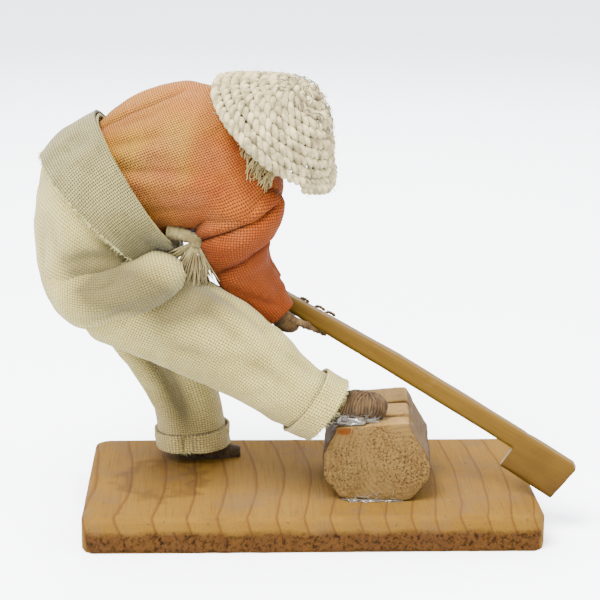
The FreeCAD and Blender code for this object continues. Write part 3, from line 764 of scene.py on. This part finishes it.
def make_board():
    """The board: raw low on its front and back, with worn edges, a stain by the far foot and dirt."""
    raw_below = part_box("base_board")[1].z / MM - 4.4

    def is_end(normal):
        return ramp(abs(normal.y), 0.55, 0.85)

    def is_raw(place, normal):
        return is_end(normal) * ramp(raw_below - place.z + 1.4 * wander(place, 9, 2), 0, 2.5)

    def moved(place, normal):
        pits = pitted((place.x, place.y, place.z * 1.4), 1.1, 7) * ramp(wander(place, 5, 31), -0.5, 0.3)
        grain = 0.05 * wander((place.x * 3, place.y * 0.25, place.z * 3), 2.0, 4)
        worn = -0.35 * bevel(normal, 1.15, 1.45) * (0.5 + wander(place, 6, 1))
        rough = is_raw(place, normal) * (0.7 * pits + 0.25 * wander(place, 5, 3) + 0.15)
        return grain + worn + 0.1 * wander(place, 22, 9) - rough

    def grime(place, normal):
        out = Vector(((place.x + 53.4) / 17, (place.y + 3.8) / 22)).length + 0.3 * wander(place, 5, 6)
        stain = (1 - ramp(out, 0.8, 1.05)) * (0.35 + 0.65 * ramp(out, 0.5, 0.9))
        edge = 0.5 * bevel(normal, 1.1, 1.4) * ramp(wander(place, 7, 8), -0.2, 0.5)
        dots = 0.7 * ramp(wander(place, 1.3, 12), 0.55, 0.7)
        upward = 1 if normal.z > 0.5 else 0
        return min(0.85, 0.5 * stain * upward + 0.5 * edge + 0.5 * dots * upward)

    marks = {"end": is_raw, "grime": grime}
    weathered("board", "base_board", 0.62, 2, moved, marks, board_wood(), "board_pine")


def make_log():
    """The log: pitted ends, a sawn top and bark on its flanks, with a spot of resin."""

    def is_end(place, normal):
        return ramp(abs(normal.y), 0.6, 0.85) * (1 if abs(place.y - 9) > 17 or place.z < 36 else 0)

    def is_top(place, normal):
        return ramp(normal.z, 0.4, 0.75)

    def moved(place, normal):
        end = is_end(place, normal)
        pits = pitted(place, 0.8, 17) * (0.15 + 0.85 * ramp(20 - place.x, 0, 8))
        bark = 0.55 * wander((place.x, place.y * 0.35, place.z), 5, 2) + 0.25 * wander(place, 2, 5)
        sawn = 0.12 * wander((place.x * 0.3, place.y * 2.5, place.z), 2.5, 4)
        flank = (1 - end) * (1 - is_top(place, normal))
        return bark * flank + sawn * is_top(place, normal) - end * (0.3 * pits + 0.15 * wander(place, 6, 3))

    def resin(place, normal):
        spot = Vector(((place.x - 11) / 3.2, (place.z - 38.5) / 1.6))
        return is_end(place, normal) * (1 - ramp(spot.length + 0.3 * wander(place, 2, 4), 0.6, 1.0))

    weathered("log_block", "log", 0.42, 9, moved, {"end": is_end, "top": is_top, "resin": resin},
              log_wood(), "log_wood")


def make_axe():
    """The axe: knife marks, a few dents and a side face that is darker towards the head."""
    butt = Vector((-9.43, 6.5, 76.73))
    along = Vector((0.8571, -0.2453, -0.4530)).normalized()
    across = (SIDE - along * along.y).normalized()
    upwards = along.cross(across)

    def local(place):
        reach = place - butt
        return reach.dot(along), reach.dot(across), reach.dot(upwards)

    def moved(place, normal):
        far, wide, tall = local(place)
        knife = 0.16 * wander((far * 0.12, wide * 0.5, tall * 0.5), 1.4, 2)
        dents = -0.3 * ramp(wander(place, 4, 5), 0.45, 0.8)
        return knife + dents + 0.05 * wander((far * 0.15, wide * 2, tall * 2), 1.0, 8)

    def worn(place, normal):
        far, _, tall = local(place)
        side_face = ramp(-normal.dot(across), 0.3, 0.8)
        return side_face * (0.35 + 0.65 * ramp(far - 2.2 * tall, 70, 135)) * (0.8 + 0.3 * wander(place, 9, 3))

    def flat(place):
        far, wide, tall = local(place)
        return (far, wide + tall * 1.3)

    weathered("axe_carved", "axe", 0.42, 2, moved, {"worn": worn}, axe_wood(), "axe_wood", flat, "axe")


# ---------------------------------------------------------------- cords

def twist(shape, path, radius, plies=2, lay=8.0, sides=7, uneven=0.08, seed=0.0, taper=0.0):
    """A twisted cord along a path: plies that wind round it, once in every lay."""
    frames = carried_frames(path)
    travelled = distances(path)
    for ply in range(plies):
        line = []
        for point, frame_here, far in zip(path, frames, travelled):
            off = radius * 0.48 * (1 + uneven * wander((far, ply * 9, seed), 6))
            line.append(point + spun(*frame_here, math.tau * (far / lay + ply / plies)) * off)

        def size(share, ply=ply):
            swell = 1 + uneven * wander((share * travelled[-1], ply * 7, seed), 3, 2)
            return radius * 0.6 * swell * (1 - taper * max(0.0, abs(share - 0.5) * 2 - 0.9) * 10)

        shape.tube(line, size, sides)


def hat_point(share, out=0.0):
    """(distance from the axis, height) on the hat's outer surface, from the rim, 0, to the top, 1."""
    bow = 2.5 * math.sin(math.pi * share) + 1.6 * math.sin(math.pi * share ** 3) + out
    return (HAT_REACH * (1 - share) + bow * HAT_RISE / HAT_SLOPE,
            HAT_RISE * share + bow * HAT_REACH / HAT_SLOPE)


def make_hat(cream, dark):
    """A coil of twisted cord that narrows from the rim to the top, with fuzz and a few dark hairs."""
    cord, spacing = 1.85, 3.3
    slope = HAT_SLOPE * 1.02
    path = []
    angle = 0.0
    while angle < (slope - cord * 1.2) / spacing * math.tau:
        share = min((cord * 0.75 + spacing * angle / math.tau) / slope, 0.985)
        reach, height = hat_point(share, -cord)
        reach = max(reach, 1.1)
        ripple = 0.3 * wander((reach * math.cos(angle), reach * math.sin(angle), height), 7, 3)
        path.append(HAT_CENTRE + spun(HAT_ACROSS, HAT_OTHER, angle + 2.3) * (reach + ripple)
                    + HAT_AXIS * max(height, cord * 0.8))
        angle += 0.6 / max(reach, 2.0)
    coil = Shape()
    twist(coil, path, cord, plies=2, lay=5.8, sides=10, uneven=0.3, seed=3)
    coil.finish("hat_coil", cream, "hat_cord", ["hat"], "hat")

    chance = random.Random(11)
    fuzz = Shape()
    for _ in range(1100):
        start = path[int(chance.random() * len(path))] + scatter(chance, 0.3)
        outwards = (start - HAT_CENTRE - HAT_AXIS * 6).normalized()
        heading = (outwards * 0.7 + scatter(chance, 0.8)).normalized()
        bend = scatter(chance, 1)
        reach = heading * chance.uniform(1.2, 2.6)
        fuzz.tube(stray(start + outwards * cord * 0.6, reach, bend * 0.4, 4), 0.045, 3)
    fuzz.finish("hat_fuzz", cream, "hat_cord", body="hat")

    strays = Shape()
    for _ in range(70):
        place = 0.6 + 0.38 * chance.random()
        around = spun(HAT_ACROSS, HAT_OTHER, chance.uniform(0, math.tau))
        reach, height = hat_point(place, 0.1)
        start = HAT_CENTRE + around * reach + HAT_AXIS * height
        heading = scatter(chance, 1).normalized()
        outwards = (around * 0.6 + HAT_AXIS * 0.8).normalized()
        heading = (heading - outwards * heading.dot(outwards)).normalized()
        bend = outwards * 0.4
        strays.tube([start - bend * 0.5 + heading * 2.2 * step / 4 + bend * math.sin(math.pi * step / 4)
                     for step in range(5)], 0.15, 4)
    strays.finish("hat_dark_hairs", dark, "hat_cord", body="hat")


def make_hair(cream):
    """Frayed curly locks round the head, below the hat, but not in front of the face."""
    chance = random.Random(5)
    shape = Shape()
    locks = 96
    for lock in range(locks):
        around = spun(HAT_ACROSS, HAT_OTHER, math.tau * lock / locks + chance.uniform(-0.05, 0.05))
        if around.dot(FACE_AHEAD) > 0.55:
            continue
        length = chance.uniform(8.5, 12.5)
        lean = chance.uniform(0.05, 0.35)
        sway = scatter(chance, 0.12)
        for _ in range(8):
            phase = chance.uniform(0, math.tau)
            curl = chance.uniform(0.4, 0.95)
            twistiness = chance.uniform(4, 7)
            offset = scatter(chance, 0.45)
            path = []
            for step in range(15):
                share = step / 14
                drop = around * lean * share * length - HAT_AXIS * share * length * chance.uniform(0.97, 1.03)
                spiral = spun(HAT_ACROSS, HAT_OTHER, phase + twistiness * share * 2)
                path.append(HEAD_CENTRE + around * 16.2 - HAT_AXIS * 1.5 + offset * (0.5 + share) + drop
                            + sway * share * length + spiral * curl * (0.3 + share))
            shape.tube(path, lambda share: 0.3 - 0.12 * share, 4)
    shape.finish("hair_locks", cream, "hair_cord", ["hair_fringe"])


def bump_at(value, centre, width, power=2):
    """1 at a centre and close to 0 beyond a width."""
    return math.exp(-((value - centre) / width) ** power)


def face_marks(sideways, level):
    """(lids and brows, lips) at one place on the front of the head, each from 0 to 1."""
    lid, brow = 0.0, 0.0
    for eye in (-0.36, 0.36):
        off = 0.5 * (sideways - eye) ** 2
        lid = max(lid, bump_at(sideways, eye, 0.12, 4) * bump_at(level, 1.2 * off - 0.03, 0.014))
        brow = max(brow, bump_at(sideways, eye, 0.15, 4) * bump_at(level, 0.17 - off, 0.02))
    return min(1.0, lid + 0.55 * brow), bump_at(sideways, 0, 0.2, 4) * bump_at(level, -0.47, 0.035)


def make_head(material):
    """A calm generic doll's head: brow, nose, cheeks, chin, closed lids and a straight mouth."""
    left = HAT_AXIS.cross(FACE_AHEAD)
    radius = 14.3
    # Each feature is (across, height, width, tallness, how far it stands out), in head radii.
    features = [(0, -0.12, 0.10, 0.16, 0.085), (0, -0.2, 0.13, 0.08, 0.05), (0, 0.22, 0.6, 0.1, 0.02),
                (0, -0.47, 0.22, 0.05, 0.03), (0, -0.73, 0.25, 0.14, 0.05)]
    for side in (-1, 1):
        features += [(side * 0.36, 0.02, 0.17, 0.1, -0.05), (side * 0.36, 0, 0.12, 0.07, 0.035),
                     (side * 0.45, -0.3, 0.2, 0.2, 0.03)]
    rings, sides = 96, 144
    rows, flats, marks = [], [], []
    for ring in range(1, rings):
        tilt = math.pi * ring / rings - math.pi / 2
        turns = [math.tau * side / sides + math.pi for side in range(sides + 1)]
        flats.append([(turn * radius * math.cos(tilt), tilt * radius) for turn in turns])
        rows.append([])
        for turn in turns[:-1]:
            way = spun(FACE_AHEAD, left, turn) * math.cos(tilt) + HAT_AXIS * math.sin(tilt)
            front, sideways, level = way.dot(FACE_AHEAD), way.dot(left), way.dot(HAT_AXIS)
            lift = sum(out * bump_at(sideways, across, wide) * bump_at(level, height, tall)
                       for across, height, wide, tall, out in features)
            rows[-1].append(HEAD_CENTRE + way * radius * (0.97 + lift * ramp(front, 0, 0.3)))
            marks.append(face_marks(sideways, level) if front > 0 else (0.0, 0.0))
    shape = Shape()
    shape.rows(rows, flats)
    head = shape.finish("head_shape", material, "head_cloth", ["head"])
    for name, values in zip(("line", "lips"), zip(*marks)):
        mark(head.data, name, values)


def wound_limb(name, stations, material, nodes, cord=0.42, cross=True, lumps=0.5, seed=1):
    """A limb's end: a lumpy core wound with thin cord, first one way and then, if asked, slantwise."""
    tube = Tube(stations, 10)
    core = Shape()
    core.rows(*garment_rows(tube, 36, creases=lumps, crease_size=4, seed=seed))
    last = len(tube.track) - 1

    def at(share, turn, out):
        place = max(0.0, min(share, 1.0)) * last
        row = min(int(place), last - 1)
        point = tube.point(row, turn, out).lerp(tube.point(row + 1, turn, out), place - row)
        bump = lumps * (wander(point, 4, seed) + 0.5 * wander(point, 1.8, seed + 5))
        return point + tube.outwards(row, turn) * bump

    def coil(start, end, pitch, lean, phase, out):
        turns = tube.along[-1] * (end - start) / pitch
        steps = int(turns * 26)
        path = []
        for step in range(steps + 1):
            share = step / steps
            turn = phase + math.tau * turns * share
            along = start + (end - start) * share + lean * math.sin(turn) / tube.along[-1]
            path.append(at(along, turn, out + 0.1 * wander((step * 0.3, seed, 0), 2)))
        core.tube(path, lambda share: cord * (1 + 0.15 * math.sin(share * 90)), 5)

    coil(0.02, 0.97, cord * 2.1, 0.0, 0, cord * 0.4)
    if cross:
        coil(0.25, 0.6, cord * 2.3, 3.2, 1, cord * 1.2)
        coil(0.5, 0.9, cord * 2.6, -2.8, 2, cord * 1.4)
    core.finish(name, material, "limb_cord", nodes)


def wound_path(shape, points, radius, cord, seed):
    """A core along points, wound closely with thin cord; radius is a function of the share of the way."""
    path = smooth_path(points, 8)
    frames = carried_frames(path)
    shape.tube(path, radius, 20)
    turns = distances(path)[-1] / (cord * 2.1)
    steps = int(turns * 24)
    line = []
    for step in range(steps + 1):
        share = step / steps
        place = share * (len(path) - 1)
        row = min(int(place), len(path) - 2)
        size = radius(share) + cord * 0.4 + 0.12 * wander((step * 0.2, seed, 0), 2)
        centre = path[row].lerp(path[row + 1], place - row)
        line.append(centre + spun(*frames[row], math.tau * turns * share) * size)
    shape.tube(line, cord, 5)


def make_arms(material):
    """Cord-wound forearms inside the sleeves."""
    for side, points in (("near", ARM_NEAR), ("far", ARM_FAR)):
        shape = Shape()
        wound_path(shape, points, lambda share: 2.6, 0.45, 3)
        shape.finish(f"arm_cord_{side}", material, "limb_cord", [f"arm_wrap_{side}"])


def make_hands(material, pale):
    """Hands wound with cord, with thick twisted fingers that lie along the handle."""
    palm, cords, far = Shape(), Shape(), Shape()
    wound_path(palm, [(-12.5, -4.2, 75.5), (-9.6, -1.6, 72), (-7.2, 0.6, 70.2), (-5.4, 2, 69.4)],
               lambda share: 3.3 * math.sin(math.pi * (0.3 + 0.6 * share)) ** 0.6, 0.3, 4)
    fingers = [(-10, -5.2, 75.8), (-6.6, -3.2, 73), (-3.2, -0.8, 70.6), (0.2, 1, 69), (3.6, 1.8, 67.2)]
    twist(cords, smooth_path(fingers, 10), 1.35, plies=3, lay=3.4, sides=6, uneven=0.35, seed=2, taper=0.6)
    second = [(-5.5, 2.8, 70), (-1.5, 2.6, 69), (3, 2.4, 67), (5.6, 2.6, 65.6)]
    twist(cords, smooth_path(second, 8), 0.9, plies=2, lay=3, sides=5, uneven=0.4, seed=5, taper=0.6)
    palm.finish("hand_near_cord", material, "limb_cord", ["hand_near"])
    cords.finish("hand_near_fingers", pale, "limb_cord")
    hooked = [(-14.6, 18.1, 80.2), (-12, 17.2, 77.9), (-8, 15.6, 75.8), (-2, 13.2, 73.4), (5, 11.2, 69.4)]
    wound_path(far, hooked, lambda share: 2.4 - 1.2 * share ** 2, 0.3, 6)
    for across, lift, length in ((-3.4, 77.3, 3.2), (2.2, 74.3, 3.6), (6.0, 72.2, 3.2)):
        finger = [(across - 1, 12, lift - 4), (across, 10.2, lift - 0.4), (across + 1.4, 7.8, lift + 0.3),
                  (across + 2.4 + length * 0.2, 6.4, lift - 0.6)]
        twist(far, smooth_path(finger), 0.62, plies=2, lay=2.4, sides=5, uneven=0.3, seed=across, taper=0.5)
    far.finish("hand_far_cord", material, "limb_cord", ["hand_far"])


def make_tassel(material):
    """The sash's end: a knot on a gathered strip, a fan of loose threads and one that curls away."""
    chance = random.Random(8)
    knot = Vector((-40.3, -18.5, 105))
    shape = Shape()
    for ring in range(5):
        turns = [math.tau * step / 24 for step in range(25)]
        shape.tube([knot + Vector((math.cos(turn) * 1.7, math.sin(turn) * 1.4,
                                   (ring - 2) * 0.65 + 0.3 * math.sin(turn))) for turn in turns], 0.42, 5)
    gathered = smooth_path([(-50, -15.5, 107.5), (-45.5, -16.8, 106.8), knot], 8)
    shape.tube(gathered, lambda share: 3.0 - 1.2 * share + 0.25 * math.sin(share * 40), 14)
    threads = 96
    for thread in range(threads):
        share = thread / (threads - 1)
        heading = math.radians(-158 + 92 * share ** 0.8 + chance.uniform(-5, 5))
        length = chance.uniform(13.5, 19.0) * (0.88 + 0.12 * math.sin(math.pi * share))
        way = Vector((math.cos(heading), chance.uniform(-0.24, 0.1), math.sin(heading)))
        kink = scatter(chance, 0.5)
        path = []
        for step in range(9):
            along = step / 8
            sag = Vector((0, 0, -2.2)) * along * along * (1 - abs(math.sin(heading)))
            path.append(knot + way * length * along + sag + kink * math.sin(math.pi * along * 1.4) * along
                        + SIDE * chance.uniform(-0.1, 0.1))
        shape.tube(path, lambda share: 0.21 * (1 - 0.35 * share), 5)
    curl = []
    for step in range(22):
        turn = 0.9 * math.tau * step / 21
        curl.append(knot + Vector((2.2 + 0.12 * step + 2.1 * math.sin(turn), -0.6,
                                   -2.8 - 0.16 * step + 1.9 * math.cos(turn))))
    shape.tube(curl, 0.2, 5)
    shape.finish("tassel_threads", material, "tassel_thread", ["sash_tassel"])


def blob(shape, centre, sizes, lump, seed):
    """A rounded drop with an uneven surface."""
    rings, sides = 24, 40
    rows = []
    for ring in range(1, rings):
        tilt = math.pi * ring / rings - math.pi / 2
        rows.append([])
        for side in range(sides):
            turn = math.tau * side / sides
            way = Vector((math.cos(tilt) * math.cos(turn), math.cos(tilt) * math.sin(turn), math.sin(tilt)))
            swell = 1 + lump * wander(way * 3 + Vector((seed, 0, 0)), 1.6)
            rows[-1].append(Vector(centre) + Vector([part * size * swell for part, size in zip(way, sizes)]))
    shape.rows(rows)


def make_glue(clear, white):
    """Dried glue round the front foot, at the waist and under the log, and its loose strings."""
    drops = {
        "foot_glue_drop": ("foot_glue", [((14.5, -20.4, 41.4), (8.4, 5.0, 1.9), 0.4, 1),
                                         ((9, -21, 42.3), (4.6, 4.0, 2.4), 0.45, 2)]),
        "waist_glue_drop": ("waist_glue", [((-42, -12, 94.5), (5.4, 5, 4), 0.35, 3),
                                           ((-39.5, -13.5, 91), (3.4, 3, 2.6), 0.35, 4)]),
        "log_glue_film": ("log_glue", [((14, -24.5, 13.3), (4, 2.4, 0.5), 0.4, 5),
                                       ((21, -25.2, 13.3), (5, 2.4, 0.5), 0.4, 6),
                                       ((28, -25, 13.3), (4.5, 2.4, 0.5), 0.4, 7),
                                       ((20, -6, 13.3), (8, 8, 0.5), 0.4, 8),
                                       ((25, 8, 13.3), (7, 7, 0.5), 0.4, 9)]),
    }
    for name, (node, blobs) in drops.items():
        shape = Shape()
        for settings in blobs:
            blob(shape, *settings)
        shape.finish(name, clear, "glue", [node])
    chance = random.Random(15)
    strings = Shape()
    by_the_foot = ((4, 22), (-25, -22.5), (40.6, 44))
    under_the_log = ((14, 30), (-27.6, -26.6), (13.2, 15.4))
    for _ in range(90):
        room = by_the_foot if chance.random() < 0.7 else under_the_log
        start = Vector([chance.uniform(*limits) for limits in room])
        heading = Vector([chance.gauss(0, spread) for spread in (1, 0.3, 0.45)]).normalized()
        bend = scatter(chance, 0.8)
        strings.tube(stray(start, heading * chance.uniform(1.5, 4), bend, 5), 0.055, 4)
    strings.finish("glue_strings", white, "glue")


# ---------------------------------------------------------------- make everything

look_from()
light_the_room()
make_floor()

cotton = (trouser_cloth(), "trouser_cotton")
shirt = (shirt_cloth(), "shirt_cloth")
sash = (sash_cloth(), "sash_cloth")
hat_cream = fibre_cloth("hat_cord", tint(166, 152, 113), tint(98, 88, 61), tint(64, 59, 43), fine=7)
hair_cream = fibre_cloth("hair_cord", tint(131, 115, 74), tint(107, 91, 55), fine=10)
straw = fibre_cloth("tassel_thread", tint(120, 110, 73), tint(85, 72, 43), fine=12)
cotton_end = fibre_cloth("cotton_ends", tint(147, 143, 94), tint(132, 125, 79), fine=12)
brown = fibre_cloth("limb_cord", tint(71, 53, 29), tint(39, 26, 12), tint(17, 10, 5))
hand_brown = fibre_cloth("hand_cord", tint(85, 65, 35), tint(52, 36, 18), tint(17, 10, 5))
pale_brown = fibre_cloth("finger_cord", tint(98, 77, 45), tint(57, 40, 23), tint(17, 10, 5))
dark_hair = fibre_cloth("dark_hair", tint(62, 56, 60), tint(34, 30, 34))
wadding = fibre_cloth("stuffing", tint(236, 232, 222), tint(214, 208, 196), fine=2, along=2)
glue_white = fibre_cloth("glue_strings", tint(118, 114, 105), tint(83, 77, 70))
wire = steel()
for limb in ("spine_wire", "leg_wire_near", "leg_wire_far", "arm_wire_near", "arm_wire_far"):
    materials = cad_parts[limb].data.materials
    materials.clear()
    materials.append(wire)

make_board()
make_log()
make_axe()

# Garments. A fold is (start, end, half width, height) and a shade, a patch of painted shade, is
# (middle, half width, share), with places on the flat cloth: how far round from the middle of the
# near side, how far along.
garment("trouser_seat_cloth", TRUNK + SEAT_CLOSED, cotton, ["trouser_seat"],
        around=220, steps=20, creases=0.8, crease_size=13, seed=2,
        folds=[((10, 36), (-12, 32.5), 1.8, -1.7), ((8, 40), (-12, 37), 3.5, 0.9),
               ((20, 24), (14, 34), 3, -0.7), ((2, 21), (-20, 19), 3, -0.9),
               ((24, 27), (26, 42), 3.5, -0.8), ((12, 33), (-10, 23.5), 1.8, -1.8)],
        shades=[((-22, 19), 10, 0.9), ((-12, 24), 9, 0.9), ((-2, 32), 9, 0.8), ((7, 37), 8, 0.5)])
garment("trouser_seat_fold", SEAT_FOLD, cotton, [],
        steps=12, creases=0.9, seed=12,
        folds=[((4, 12), (8, 34), 2.6, -1.0), ((-8, 14), (-4, 36), 3, -0.9)],
        shades=[((8, 28), 11, 1.0), ((4, 20), 8, 0.8), ((-8, 41), 8, 1.0), ((0, 36), 10, 0.8)])
garment("trouser_leg_near_cloth", LEG_NEAR_START + LEG_NEAR, cotton, ["trouser_leg_near"],
        around=180, steps=18, creases=0.8, crease_size=11, seed=3,
        folds=[((8, 30), (30, 38), 4.0, -1.6), ((20, 38), (15, 62), 3, -1.1), ((10, 40), (6, 64), 3.2, -0.8),
               ((-7, 32), (-2, 54), 3.5, -1.0), ((2, 56), (4, 80), 3, -0.9), ((12, 66), (12, 84), 2.6, -0.8)],
        shades=[((11, 32), 9, 0.9), ((3, 28), 8, 0.7), ((15, 41), 8, 0.7), ((-12, 40), 12, 0.2)])
garment("trouser_leg_far_cloth", LEG_FAR_START + LEG_FAR, cotton, ["trouser_leg_far"],
        around=150, steps=16, crease_size=11, seed=4,
        folds=[((-5.5, 36), (-1, 80), 6.5, -3.4), ((-16, 42), (-13, 72), 6, 1.2), ((8, 46), (8, 72), 6, 1.2)])
garment("cuff_near_cloth", CUFF_NEAR, cotton, ["cuff_near"],
        around=140, steps=24, thickness=1.0, grow=1.3, creases=0.45, crease_size=5, seed=5)
garment("cuff_far_cloth", CUFF_FAR, cotton, ["cuff_far"],
        around=140, steps=24, thickness=1.0, grow=1.1, creases=0.35, crease_size=4, seed=6,
        folds=[((-1.5, -2), (-1.5, 9), 2.4, -3.6)])
garment("waist_sash_cloth", TRUNK[:3], sash, ["waist_sash"],
        around=220, steps=24, thickness=0.9, grow=2.0, creases=0.45, crease_size=12, seed=7,
        folds=[((-12, 7), (-30, 6), 2.4, -1.3), ((-9, 2), (-26, 1), 3, 0.9), ((26, 3), (30, 12), 3, -0.6)],
        shades=[((-12, 12), 8, 0.7), ((-20, 8), 9, 0.8), ((-26, 4), 7, 0.7)])
garment("shirt_body_cloth", TORSO[:3] + SHOULDERS, shirt, ["shirt_body"],
        around=220, steps=16, thickness=0.6, creases=0.8, crease_size=12, seed=8,
        folds=[((-14, 20), (-22, 42), 9, 8.5), ((30, 2), (32, 34), 2.2, -2.2), ((43, 4), (45, 30), 5, 1.5),
               ((9, 1), (-1, 24), 2.8, -1.3), ((18, 2), (14, 26), 3, -1.2), ((-9, 3), (-13, 22), 2.4, -1.2),
               ((24, 8), (26, 30), 2.6, -0.9), ((3, 4), (-7, 28), 3.2, 1.2), ((13, 3), (8, 26), 3, 1.0),
               ((-16, 30), (4, 34), 3, -0.9)])
garment("sleeve_near_cloth", SLEEVE_NEAR, shirt, ["sleeve_near"],
        around=180, steps=22, thickness=0.6, creases=0.8, crease_size=8, seed=9,
        folds=[((-18, 18.5), (0.4, 11.3), 1.3, -3.0), ((0.4, 11.3), (14, 6.6), 1.3, -3.0),
               ((-15, 14.5), (12, 4), 2.8, 1.6), ((21, 17), (2, 25.4), 2.0, -3.2),
               ((2, 25.4), (-10, 27.6), 1.8, -2.6), ((9, 13.5), (-6, 20), 3.6, 1.7),
               ((12, 28), (-6, 32), 3.5, 1.3), ((-4, 35), (4, 50), 2, -1.0), ((6, 32), (9, 46), 2.2, -0.9)])
garment("sleeve_far_cloth", SLEEVE_FAR_START + SLEEVE_FAR, shirt, ["sleeve_far"],
        around=130, thickness=0.6, creases=0.7, crease_size=8, seed=10)

fray("sash_frayed_edge", TRUNK[:3], 2.0, 700, 1.3, 0.11, cotton_end, "sash_cloth", 41)
fray("cuff_near_frayed_edge", CUFF_NEAR, 1.3, 420, 1.2, 0.1, cotton_end, "trouser_cotton", 42)
fray("cuff_far_frayed_edge", CUFF_FAR, 0.9, 200, 0.8, 0.09, cotton_end, "trouser_cotton", 43)

stuffing("torso_stuffing", TORSO, wadding, "torso_padding", 3.4, 21)
stuffing("pelvis_stuffing", PELVIS_FILL + TRUNK[2:], wadding, "pelvis_padding", 3.6, 22)
stuffing("leg_stuffing_near", LEG_NEAR[:-1], wadding, "leg_padding_near", 3.2, 23)
stuffing("leg_stuffing_far", LEG_FAR[:-1], wadding, "leg_padding_far", 4.6, 24)

make_head(head_cloth())
make_hat(hat_cream, dark_hair)
make_hair(hair_cream)
make_arms(brown)
make_hands(hand_brown, pale_brown)
make_tassel(straw)
make_glue(glue(), glue_white)
wound_limb("foot_near_wound", FOOT_NEAR, brown, ["foot_near"], seed=31)
wound_limb("foot_far_wound", FOOT_FAR, brown, ["foot_far"], cord=0.3, cross=False, lumps=0.25, seed=32)
